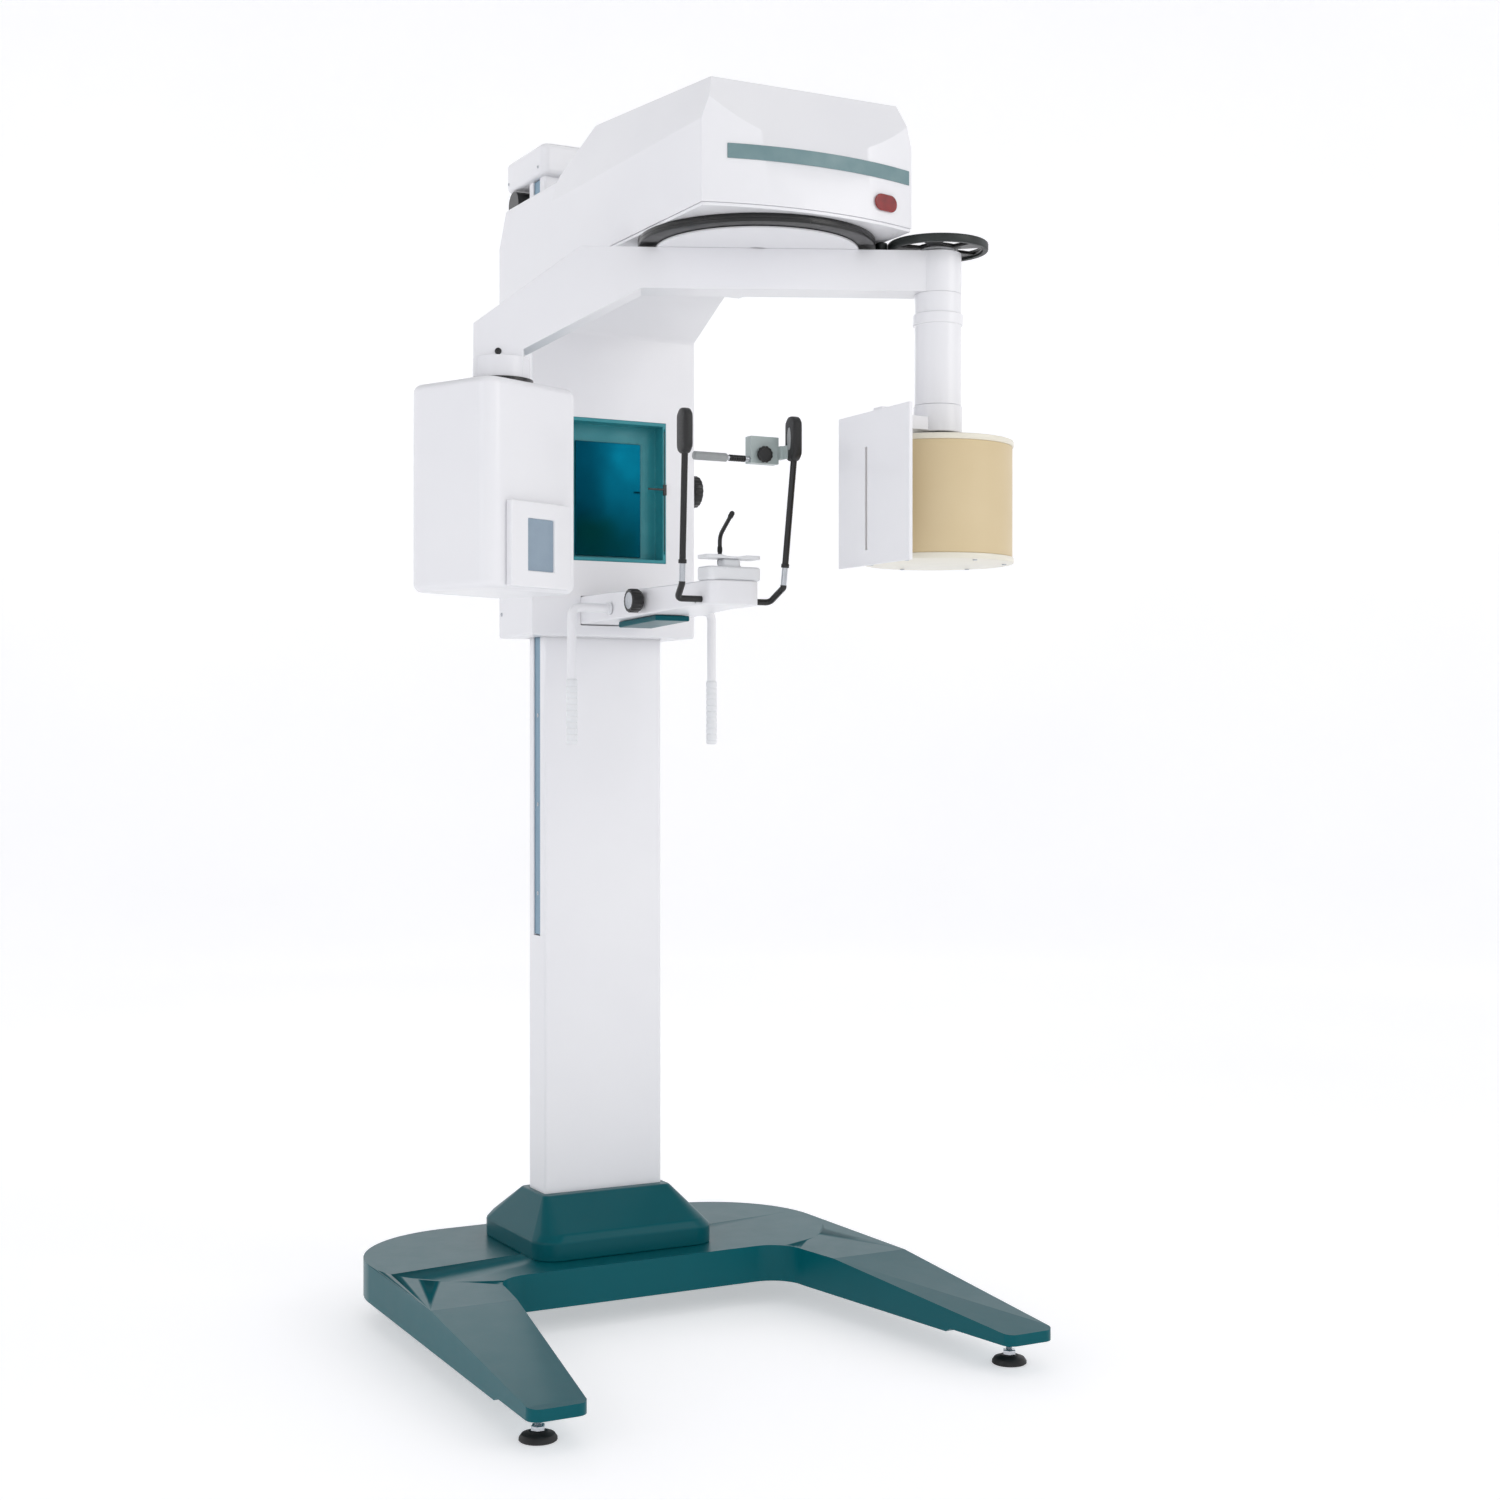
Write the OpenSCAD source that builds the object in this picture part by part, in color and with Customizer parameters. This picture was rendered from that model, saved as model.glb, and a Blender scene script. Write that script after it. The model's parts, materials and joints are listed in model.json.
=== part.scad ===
// Panoramic dental x-ray machine, seated type, with a rotating film drum.
// Millimetres. The origin lies on the floor at the middle of the footprint; the patient sits on the -Y side.

/* [Floor base] */
// Height of the column top above the floor
column_top = 1890; // [1800:10:1950]
// Outer half-width of the base at its rear corners
base_half_w = 408; // [380:2:440]
// Outer half-width of the base at the tips of its legs
leg_half_w = 424; // [400:2:450]
// Reach of the legs in front of the column's middle
leg_reach = 739; // [700:5:780]
// Height of the base's underside above the floor
base_z = 39; // [30:1:50]
// Thickness of the base at the column
base_t = 60; // [50:1:70]
// Diameter of a levelling foot
foot_d = 53; // [40:1:60]

/* [Column] */
// Width of the column
column_w = 216; // [200:2:230]
// Depth of the column
column_d = 70; // [64:1:80]
// Wall thickness of the sheet-metal covers
wall = 4; // [3:0.5:5]
// Width of a side rail
rail_w = 28; // [24:1:30]

/* [Carriage] */
// Width of the carriage cover
carriage_w = 300; // [290:2:310]
// Height of the carriage's lower edge
carriage_z = 1120; // [1115:1:1130]
// Width of the mirror recess
recess_w = 178; // [160:2:186]

/* [Head] */
// Distance from the column's middle to the rotation axis
axis_reach = 580; // [570:2:590]
// Width of the head cover
hood_w = 340; // [330:2:350]
// Outer radius of the slewing ring
ring_r = 175; // [170:1:178]

/* [Rotating arm] */
// Direction in which the arm rests, from +X
arm_rest = -25; // [-30:1:-20]
// Width of the arm's box section
arm_w = 56; // [50:1:60]
// Distance from the rotation axis to the tube head's pivot
tube_reach = 374; // [370:1:378]
// Distance from the rotation axis to the film drum's axis
drum_reach = 268; // [264:1:270]
// Radius of the film drum
drum_r = 110; // [104:1:112]
// Height of the film drum
drum_h = 180; // [170:1:182]

/* [Tube head] */
// Width of the tube head across the beam
tube_w = 190; // [180:2:196]
// Depth of the tube head along the beam
tube_d = 168; // [160:2:174]
// Height of the tube head
tube_h = 302; // [290:2:304]
// Direction of the tube head, from the arm
tube_turn = -41; // [-45:1:-35]

/* [Head positioner] */
// Half the distance between the temple pads
temple_x = 94; // [90:1:98]
// Height of the temple pads' middle
temple_z = 1402; // [1395:1:1410]
// Length of the chin arm in front of the column's middle
chin_reach = 516; // [510:1:520]

/* [Hidden] */
$fn = 64;

// Gap between pieces that move past each other, and a running fit
gap = 0.3;
fit = 0.05;
// Overrun of a cut past the face it leaves
cut = 1;

white = "#EDEDF0";
teal = "#0E5F6B";
black = "#101012";
steel = "#A9AFB5";
cream = "#DCCB98";

// The column's middle and the rotation axis, from the middle of the footprint
column_x = 17;
column_y = 316;
axis_y = column_y - axis_reach;

// Base
base_top = base_z + base_t;
rear_y = 178;
corner_r = 200;
crossbar_y = -193;
leg_w = 84;
inner_r = 57;
taper_y = -330;
tip_z = 62;
tip_step = 6;
tip_r = 18;
foot_x = 386;
foot_y = -673;
rear_foot_x = 330;
rear_foot_y = 60;
foot_pad_h = 12;
stud_r = 5;
stud_top = 60;

// Column
column_z = base_top;
channel_d = 8;
rail_t = 6;
rail_bottom = 619;
pulley_r = 20;
pulley_w = 26;
pulley_y = 38;
pulley_top_z = 1862;
pulley_low_z = 200;
belt_w = 24;
belt_t = 1.5;
shaft_r = 6;
motor_y = 84;
motor_r = 22;

// Carriage and head
carriage_front = -80;
carriage_rear = 67;
carriage_top = 1841;
recess_z = 1252;
recess_h = 226;
recess_d = 30;
mirror_w = 120;
knob_y = -48;
knob_z = 1375;
head_z = 1685;
hood_front = -765;
hood_side = -736;
plate_t = 5;
ring_t = 12;
ring_in = 130.3;
boss_r = 130;
pinion_r = 18;
gear_r = 90;
gear_z = 1700;
gear_t = 12;

// Arm
beam_top = 1664;
beam_low = 1604;
wheel_r = 74.5;
wheel_z = 1667.4;
wheel_t = 12;
idler_r = (drum_reach - ring_r - wheel_r) / 2 - gap;
idler_pin_r = 3;
tube_r = 34.5;
sleeve_r = 36;
sleeve_z = 1399;
sleeve_top = 1439;
drum_z = 1206;
drum_wall = 3;
drum_shaft_r = 8;
slit_w = 6;
tube_z = 1161;
bearing_r = 46.5;

// Head positioner
rest_y = -492;
bite_y = -462;
rod_r = 5;
rod_left_y = -486;
rod_right_y = -466;
rod_z = 1158;
bite_bend_z = 1257;
grip_low = 940;
grip_h = 105;

module at_column() { translate([column_x, column_y, 0]) children(); }
module at_axis() { translate([column_x, axis_y, 0]) children(); }
module at_arm() { at_axis() rotate([0, 0, arm_rest]) children(); }
module at_tube() { at_arm() translate([-tube_reach, 0, 0]) rotate([0, 0, tube_turn]) children(); }
module at_drum() { at_arm() translate([drum_reach, 0, 0]) children(); }
module at_carrier() { at_drum() rotate([0, 0, -arm_rest]) children(); }

// A box from its low corner to its high corner
module block(lo, hi) { translate(lo) cube(hi - lo); }
// A rectangle with round corners, about the middle
module rounded(w, d, r) {
    if (w > 2 * r) square([w - 2 * r, d], center = true);
    if (d > 2 * r) square([w, d - 2 * r], center = true);
    for (x = [-1, 1], y = [-1, 1]) translate([x * (w / 2 - r), y * (d / 2 - r)]) circle(r, $fn = 48);
}
module rounded_box(w, d, z0, z1, r) { translate([0, 0, z0]) linear_extrude(z1 - z0) rounded(w, d, r); }
// A side outline of (y, z) points, w wide about x = 0
module side_profile(w, pts) { rotate([90, 0, 90]) linear_extrude(w, center = true) polygon(pts); }
// A front outline of (x, z) points between y0 and y1
module front_profile(y0, y1, pts) { translate([0, y1, 0]) rotate([90, 0, 0]) linear_extrude(y1 - y0) polygon(pts); }
module disc(r, z0, z1) { translate([0, 0, z0]) cylinder(r = r, h = z1 - z0); }
// Cylinders along X and along Y
module along_x(r, x0, x1, y, z) { translate([x0, y, z]) rotate([0, 90, 0]) cylinder(r = r, h = x1 - x0); }
module along_y(r, y0, y1, x, z) { translate([x, y1, z]) rotate([90, 0, 0]) cylinder(r = r, h = y1 - y0); }
// A straight rod between two points
module rod(a, b, r) {
    v = b - a;
    l = norm(v);
    translate(a) rotate([0, acos(v[2] / l), atan2(v[1], v[0])]) cylinder(r = r, h = l);
}

// ---------- floor base ----------
module base_plan() {
    difference() {
        union() {
            for (s = [-1, 1]) translate([s * (base_half_w - corner_r), rear_y - corner_r]) circle(corner_r);
            translate([-(base_half_w - corner_r), crossbar_y])
                square([2 * (base_half_w - corner_r), rear_y - crossbar_y]);
            polygon([[-base_half_w, rear_y - corner_r], [base_half_w, rear_y - corner_r],
                [leg_half_w, -leg_reach + tip_r], [-leg_half_w, -leg_reach + tip_r]]);
            for (s = [-1, 1]) translate([s * (leg_half_w - leg_w / 2 - 1.5), -leg_reach + tip_r])
                rounded(leg_w + 3, 2 * tip_r, tip_r);
        }
        tip_in = leg_half_w - leg_w;
        knee = 265;
        polygon([[-tip_in, -leg_reach - cut], [tip_in, -leg_reach - cut], [knee, crossbar_y - inner_r],
            [-knee, crossbar_y - inner_r]]);
        for (s = [-1, 1]) translate([s * (knee - inner_r), crossbar_y - inner_r]) circle(inner_r);
        translate([-(knee - inner_r), crossbar_y - inner_r - cut])
            square([2 * (knee - inner_r), inner_r + cut]);
    }
}
// The hollow under the base, with two ribs and a boss round each rear stud
module base_hollow() {
    difference() {
        intersection() {
            side_profile(1000, [[rear_y, base_z - cut], [rear_y, base_top - plate_base], [taper_y, base_top - plate_base],
                [hollow_front, hollow_front_z], [hollow_front, base_z - cut]]);
            translate([0, 0, base_z - cut]) linear_extrude(base_t) {
                translate([0, (rear_y + crossbar_y) / 2])
                    rounded(2 * (base_half_w - plate_base - 2), rear_y - crossbar_y - 2 * plate_base - 4, corner_r - 25);
                for (s = [-1, 1]) polygon([[s * 290, -150], [s * 400, -150], [s * 411, hollow_front],
                    [s * 326, hollow_front], [s * 277, -250]]);
            }
        }
        for (s = [-1, 1]) {
            translate([s * rear_foot_x, rear_foot_y, base_z - 2 * cut]) cylinder(r = 24, h = base_t + 2 * cut);
            translate([s * 150, 0, base_z + base_t / 2]) cube([plate_base, 2 * rear_y + 60, base_t + 4 * cut], center = true);
        }
    }
}
plate_base = 10;
hollow_front = -583;
hollow_front_z = 66;
module base_frame() {
    color(teal) at_column() difference() {
        intersection() {
            translate([0, 0, base_z]) linear_extrude(base_t) base_plan();
            side_profile(1000, [[rear_y + cut, base_z], [rear_y + cut, base_top], [taper_y, base_top],
                [-leg_reach - cut, tip_z], [-leg_reach - cut, base_z + tip_step],
                [foot_y + 63, base_z + tip_step], [foot_y + 73, base_z]]);
        }
        base_hollow();
        for (s = [-1, 1]) {
            translate([s * foot_x, foot_y, base_z - cut]) cylinder(r = stud_r + fit, h = stud_top - base_z + 2 * cut);
            translate([s * rear_foot_x, rear_foot_y, base_z - cut])
                cylinder(r = stud_r + fit, h = stud_top - base_z + 2 * cut);
        }
    }
}
module foot(x, y) {
    color(black) at_column() translate([x, y, 0]) {
        cylinder(r1 = foot_d / 2, r2 = foot_d / 2 - 3, h = foot_pad_h - 3);
        translate([0, 0, foot_pad_h - 3]) cylinder(r = 12, h = 6);
        cylinder(r = stud_r, h = stud_top);
    }
}
module foot_front_left() { foot(-foot_x, foot_y); }
module foot_front_right() { foot(foot_x, foot_y); }
module foot_rear_left() { foot(-rear_foot_x, rear_foot_y); }
module foot_rear_right() { foot(rear_foot_x, rear_foot_y); }

// ---------- column ----------
pedestal_top = 188;
module pedestal_form(inset) {
    hull() {
        translate([0, -7, 0]) rounded_box(322 - 2 * inset, 273 - 2 * inset, base_top, base_top + 30 - inset, 40);
        translate([0, -7, 0]) rounded_box(300 - 2 * inset, 260 - 2 * inset, base_top, base_top + 42 - inset, 36);
        rounded_box(column_w + 16 - 2 * inset, column_d + 36 - 2 * inset, base_top, pedestal_top - inset, 10);
    }
}
module pedestal_cover() {
    color(teal) at_column() difference() {
        pedestal_form(0, $fn = 32);
        translate([0, 0, -cut]) pedestal_form(wall, $fn = 32);
        block([-column_w / 2 - gap, -column_d / 2 - gap, base_top - cut],
            [column_w / 2 + gap, column_d / 2 + gap, pedestal_top + cut]);
        block([-pulley_w / 2 - 2, 0, pulley_low_z - 60], [pulley_w / 2 + 2, 63, pedestal_top + cut]);
    }
}
// The two ears that carry a pulley's axle behind the column
module axle_ears(z) {
    for (s = [-1, 1]) difference() {
        block([s > 0 ? ear_x : -ear_x - 6, column_d / 2, z - 12], [s > 0 ? ear_x + 6 : -ear_x, 48, z + 12]);
        along_x(shaft_r + fit, -ear_x - 7, ear_x + 7, pulley_y, z);
    }
}
ear_x = pulley_w / 2 + 4.5;
module column_shell() {
    color(white) at_column() axle_ears(pulley_low_z);
    color(white) at_column() difference() {
        rounded_box(column_w, column_d, column_z, column_top, 5);
        inner_w = column_w - 2 * (channel_d + wall);
        rounded_box(inner_w, column_d - 2 * wall, column_z - cut, column_top + cut, 3);
        for (s = [-1, 1]) translate([s * (column_w / 2 - channel_d / 2), 0, (rail_bottom + column_top) / 2])
            cube([channel_d + gap, rail_w + 2 * gap, column_top - rail_bottom + 2 * cut], center = true);
        for (z = [[pulley_low_z - 30, pulley_low_z + 30], [pulley_top_z - 30, column_top + cut]])
            block([-pulley_w / 2 - 4, 0, z[0]], [pulley_w / 2 + 4, column_d, z[1]]);
        block([-62, 0, pulley_top_z - 22], [-pulley_w / 2, column_d, column_top + cut]);
        along_x(shaft_r + fit, -ear_x - 7, ear_x + 7, pulley_y, pulley_low_z);
    }
}
module side_rails() {
    color("#7C9BB0") at_column() for (s = [-1, 1])
        translate([s * (column_w / 2 - channel_d + rail_t / 2), 0, (rail_bottom + column_top) / 2])
            cube([rail_t, rail_w, column_top - rail_bottom - 2], center = true);
}
screw_pitch = 150;
screw_groove = 1;
module rail_screws() {
    rail_face = column_w / 2 - channel_d + rail_t;
    color(steel) at_column() for (s = [-1, 1], i = [0:7])
        translate([s * rail_face, 0, rail_bottom + 70 + i * screw_pitch]) rotate([0, s * 90, 0])
            cylinder(r1 = 3.5, r2 = 3, h = 0.6);
}
module column_cap() {
    color(white) at_column() difference() {
        translate([0, 33, 0]) rounded_box(236, 166, column_top, 1942, 14);
        translate([0, 33, 0]) rounded_box(236 - 2 * wall, 166 - 2 * wall, column_top + wall, 1942 - wall, 10);
        block([-60, -20, column_top - cut], [60, 90, column_top + wall + cut]);
    }
}
module lift_motor() {
    color(black) at_column() difference() {
        union() {
            along_x(motor_r, -116, -56, motor_y, pulley_top_z + 4);
            block([-58, 12, pulley_top_z - 21], [-28, 106, pulley_top_z + 27.5]);
        }
        along_x(shaft_r + fit, -48, -27, pulley_y, pulley_top_z);
    }
}
module belt_outline(r) {
    translate([pulley_y, pulley_low_z]) circle(r);
    translate([pulley_y, pulley_top_z]) circle(r);
    translate([pulley_y - r, pulley_low_z]) square([2 * r, pulley_top_z - pulley_low_z]);
}
module lift_belt() {
    color(black) at_column() rotate([90, 0, 90]) linear_extrude(belt_w, center = true) difference() {
        belt_outline(pulley_r + 0.1 + belt_t);
        belt_outline(pulley_r + 0.1);
    }
}
module pulley(z, x0, x1) {
    color(steel) at_column() {
        along_x(pulley_r, -pulley_w / 2, pulley_w / 2, pulley_y, z);
        along_x(shaft_r, x0, x1, pulley_y, z);
    }
}
module top_pulley() { pulley(pulley_top_z, -46, pulley_w / 2 + 2); }
module bottom_pulley() { pulley(pulley_low_z, -ear_x - 6, ear_x + 6); }
module counterweight() {
    run_y = pulley_y - pulley_r;
    color("#55585C") at_column() difference() {
        block([-70, -27, 260], [70, 27, 600]);
        block([-belt_w / 2 - 1, run_y - 3, 260 - cut], [belt_w / 2 + 1, run_y + 2, 600 + cut]);
    }
}

// ---------- carriage ----------
module carriage_frame() {
    run_y = pulley_y + pulley_r;
    color(steel) at_column() difference() {
        union() {
            for (s = [-1, 1]) {
                block([s > 0 ? 118 : -124, -44, 1150], [s > 0 ? 124 : -118, 49, 1730]);
                block([s > 0 ? 112 : -120, -720, 1690.3], [s > 0 ? 120 : -112, 49, 1730]);
            }
            block([-124, 43, 1150], [124, 49, 1730]);
            block([-124, -50, 1150], [124, -44, 1238]);
            block([-22, 49, 1400], [22, 62.6, 1460]);
        }
        block([-belt_w / 2 - 1, run_y - 1, 1390], [belt_w / 2 + 1, run_y + 3, 1470]);
    }
}
module guide_shoes() {
    color("#D8D8D0") at_column() for (s = [-1, 1], z = [1200, 1620]) {
        face = column_w / 2 - channel_d + rail_t + fit;
        difference() {
            block([s > 0 ? face : -118, -12, z], [s > 0 ? 118 : -face, 12, z + 60]);
            translate([s * face, 0, z + 30]) cube([2 * screw_groove, 10, 60 + 2 * cut], center = true);
        }
    }
}
carriage_outline = [[carriage_rear, carriage_z], [carriage_rear, 1782], [35, carriage_top], [-200, carriage_top],
    [-200, head_z + 1], [carriage_front, 1624], [carriage_front, carriage_z]];
carriage_inside = [[carriage_rear - wall, carriage_z + wall], [carriage_rear - wall, 1780],
    [33, carriage_top - wall], [-200 - cut, carriage_top - wall], [-200 - cut, head_z + 5.3],
    [-196, head_z + 5.3], [carriage_front + wall, 1626], [carriage_front + wall, carriage_z + wall]];
module carriage_housing() {
    color(white) at_column() difference() {
        side_profile(carriage_w, carriage_outline);
        side_profile(carriage_w - 2 * wall, carriage_inside);
        block([-column_w / 2 - 4, -column_d / 2 - 4, carriage_z - cut],
            [column_w / 2 + 4, column_d / 2 + 4, carriage_top + cut]);
        block([-20, 30, carriage_z - cut], [20, 63, carriage_top + cut]);
        block([-recess_w / 2 - 6 - gap, carriage_front - cut, recess_z - 6 - gap],
            [recess_w / 2 + 6 + gap, carriage_front + wall + cut, recess_z + recess_h + 6 + gap]);
        block([-62.5, carriage_front - cut, 1138], [62.5, carriage_front + wall + cut, 1187]);
        along_x(4 + fit, carriage_w / 2 - wall - cut, carriage_w / 2 + cut, knob_y, knob_z);
    }
}
module mirror_surround() {
    color("#2A8A92") at_column() difference() {
        block([-recess_w / 2 - 6, carriage_front, recess_z - 6],
            [recess_w / 2 + 6, carriage_front + recess_d + 4, recess_z + recess_h + 6]);
        block([-recess_w / 2, carriage_front - cut, recess_z],
            [recess_w / 2, carriage_front + recess_d, recess_z + recess_h]);
        block([recess_w / 2 + 2, carriage_front - cut, 1262], [recess_w / 2 + 4, carriage_front + 3, 1474]);
    }
}
module positioning_mirror() {
    color("#003B5C") at_column() block([-mirror_w / 2, carriage_front + recess_d - 3, recess_z + 5],
        [mirror_w / 2, carriage_front + recess_d, recess_z + recess_h - 29]);
}
module plane_pointer() {
    x = recess_w / 2;
    color(black) at_column() {
        block([x, carriage_front - 3, 1362], [x + 6, carriage_front - gap, 1380]);
        block([x - 28, carriage_front - 2.4, 1370], [x + 1, carriage_front - 1, 1373]);
    }
}
module side_knob() {
    color(black) at_column() {
        along_x(27.5, carriage_w / 2 + gap, carriage_w / 2 + 20, knob_y, knob_z);
        along_x(4, carriage_w / 2 - 20, carriage_w / 2 + 1, knob_y, knob_z);
    }
}

// ---------- head ----------
module hood_plan(inset) {
    bow = hood_side - hood_front;
    bow_r = (pow(hood_w / 2, 2) + pow(bow, 2)) / (2 * bow);
    intersection() {
        translate([-hood_w / 2 + inset, hood_front + inset])
            square([hood_w - 2 * inset, -200 - hood_front - inset]);
        translate([0, hood_front + bow_r]) circle(bow_r - inset, $fn = 96);
    }
}
module hood_form(inset, low) {
    t = inset;
    intersection() {
        translate([0, 0, low]) linear_extrude(230) hood_plan(t);
        side_profile(hood_w + 2, [[hood_front - cut + t, low], [hood_front - cut + t, 1767],
            [-726 + t, 1862 - t], [-310, 1900 - t], [-212 - t / 2, 1841 - t], [-201 - t / 2, low]]);
        front_profile(-800, -190, [[-hood_w / 2 + t, low], [hood_w / 2 - t, low], [hood_w / 2 - t, 1800],
            [138 - t, 1901], [-138 + t, 1901], [-hood_w / 2 + t, 1800]]);
    }
}
module head_hood() {
    color(white) at_column() difference() {
        hood_form(0, head_z);
        hood_form(wall, head_z - cut);
        block([-130, -230, head_z - cut], [130, -190, 1800]);
    }
}
module hood_band() {
    color("#6C8C90") at_column() intersection() {
        difference() {
            linear_extrude(2000) hood_plan(-1.5);
            linear_extrude(2000) hood_plan(0);
        }
        block([-hood_w / 2 + 34, hood_front - 10, 1746], [hood_w / 2 - 6, hood_side + 10, 1766.5]);
    }
}
module exposure_lamp() {
    color("#7E0A0A") at_column() intersection() {
        difference() {
            linear_extrude(2000) hood_plan(-4);
            linear_extrude(2000) hood_plan(0);
        }
        translate([0, -700, 0]) rotate([90, 0, 0]) linear_extrude(100) translate([116, 1712]) rounded(42, 24, 12);
    }
}
module head_base_plate() {
    color(white) at_column() difference() {
        translate([0, 0, head_z - plate_t]) linear_extrude(plate_t - gap) intersection() {
            hood_plan(1);
            translate([-hood_w / 2, hood_front - cut]) square([hood_w, 560]);
        }
        translate([0, -axis_reach, 0]) disc(ring_in, head_z - 10, head_z + 10);
    }
    color(white) at_column() for (s = [-1, 1])
        block([s > 0 ? 100 : -130, -700, head_z - gap], [s > 0 ? 130 : -100, -210, head_z + 5.3]);
}
module slewing_ring() {
    color(black) at_axis() difference() {
        disc(ring_r, head_z - plate_t - ring_t, head_z - plate_t);
        disc(ring_in, head_z - 30, head_z);
    }
}
module rotation_motor() {
    color("#3A3D42") at_axis() translate([0, gear_r + pinion_r + gap, 0]) {
        difference() {
            disc(34, 1722, 1800);
            disc(shaft_r + fit, 1720, 1745);
        }
        for (s = [-1, 1]) block([s > 0 ? 30 : -112, -12, 1722], [s > 0 ? 112 : -30, 12, 1730]);
    }
}
module drive_pinion() {
    color(steel) at_axis() translate([0, gear_r + pinion_r + gap, 0]) {
        disc(pinion_r, gear_z, gear_z + gear_t);
        disc(shaft_r, gear_z, 1744);
    }
}

// ---------- head positioner ----------
module chin_arm() {
    color(white) at_column() difference() {
        intersection() {
            side_profile(140, [[-50, 1139], [-200, 1142], [-430, 1149], [-chin_reach, 1149],
                [-chin_reach, 1186], [-50, 1186]]);
            translate([0, 0, 1100]) linear_extrude(120) {
                polygon([[-62, -50], [62, -50], [62, -130], [44, -410], [44, -chin_reach + 20],
                    [-44, -chin_reach + 20], [-44, -410], [-62, -130]]);
                translate([0, -chin_reach + 20]) rounded(88, 40, 20);
            }
        }
        for (y = [rod_left_y, rod_right_y]) along_x(rod_r + fit, -70, 70, y, rod_z);
        along_x(4 + fit, -70, -20, -296, 1166);
        translate([0, bite_y, 1164.5]) cylinder(r = 4 + fit, h = 40);
    }
}
module chin_arm_cover() {
    color(teal) at_column() side_profile(60, [[-160, 1131], [-300, 1136], [-300, 1144.5], [-200, 1141.7],
        [-160, 1140.9]]);
}
module chin_block() {
    color(white) at_column() translate([0, rest_y, 0]) {
        rounded_box(92, 42, 1186, 1207, 10);
        rounded_box(30, 24, 1207, 1219, 6);
    }
}
module chin_cup() {
    color("#D9DBDD") at_column() translate([0, rest_y, 0]) difference() {
        rounded_box(94, 36, 1219, 1224.5, 8);
        translate([0, -6, 1219 + 90]) rotate([90, 0, 0]) cylinder(r = 87, h = 100, center = true, $fn = 128);
    }
}
module bite_rod() {
    color(black) at_column() {
        rod([0, bite_y, 1165], [0, bite_y, bite_bend_z], 4);
        translate([0, bite_y, bite_bend_z]) sphere(4);
        rod([0, bite_y, bite_bend_z], [0, bite_y - 42, 1289], 3.4);
    }
}
module temple_knob() {
    color(black) at_column() {
        along_x(19, -76, -56, -296, 1166);
        along_x(4, -57, -24, -296, 1166);
    }
}
// One temple arm: side is -1 on the left and 1 on the right, y is its bore's place in the chin arm
module temple_arm(side, y) {
    outer = side * 84;
    inner = -side * 4;
    knee = [side * 86, -506, 1178];
    top = [side * (temple_x - 2), pad_y, temple_z - 38];
    color(black) at_column() {
        along_x(rod_r, min(outer, inner), max(outer, inner), y, rod_z);
        translate([outer, y, rod_z]) sphere(rod_r + 0.4);
        rod([outer, y, rod_z], knee, rod_r);
        translate(knee) sphere(rod_r + 0.4);
        rod(knee, top, rod_r);
    }
}
pad_y = -527;
module temple_pad(side) {
    color("#2A2A2C") at_column() translate([side * (temple_x - 2), pad_y, temple_z])
        rotate([0, 90, 0]) linear_extrude(16, center = true) {
            square([40, 34], center = true);
            for (e = [-1, 1]) translate([e * 20, 0]) circle(17);
        }
}
module temple_arm_left() { temple_arm(-1, rod_left_y); }
module temple_arm_right() { temple_arm(1, rod_right_y); }
module temple_pad_left() { temple_pad(-1); }
module temple_pad_right() { temple_pad(1); }
bar_y = -500;
bar_z = 1371;
clamp_x = 51;
clamp_z = 1378;
module forehead_bracket() {
    color("#A8B4B2") at_column() difference() {
        union() {
            block([30, bar_y - 6, bar_z - 6], [78, bar_y + 12, 1406]);
            block([76, bar_y - 15.6, 1372], [83.8, bar_y - 2, 1392]);
            block([80.2, bar_y - 25, 1372], [83.8, bar_y - 15, 1392]);
        }
        along_x(4 + fit, 20, 70, bar_y, bar_z);
        along_y(3 + fit, bar_y - 8, bar_y - 4.2, clamp_x, clamp_z);
    }
}
module forehead_bar() { color(steel) at_column() along_x(4, -62, 66, bar_y, bar_z); }
module forehead_pad() {
    color("#8C8F90") at_column() difference() {
        along_x(7, -66, -6, bar_y, bar_z);
        along_x(4, -62, -5, bar_y, bar_z);
    }
}
module forehead_knob() {
    color(black) at_column() {
        along_y(13, bar_y - 15.8, bar_y - 6 - gap, clamp_x, clamp_z);
        along_y(3, bar_y - 7, bar_y - 4.4, clamp_x, clamp_z);
    }
}
module hand_grips() {
    color(white) at_column() for (s = [-1, 1]) {
        x = s * 126;
        along_x(7.5, s > 0 ? 58.2 : -126, s > 0 ? 126 : -58.2, -189, 1160);
        translate([x, -189, 1160]) sphere(7.5);
        translate([x, -189, grip_low + grip_h]) cylinder(r = 7.5, h = 1160 - grip_low - grip_h);
        translate([x, -189, grip_low]) cylinder(r = 9, h = grip_h);
    }
}

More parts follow.
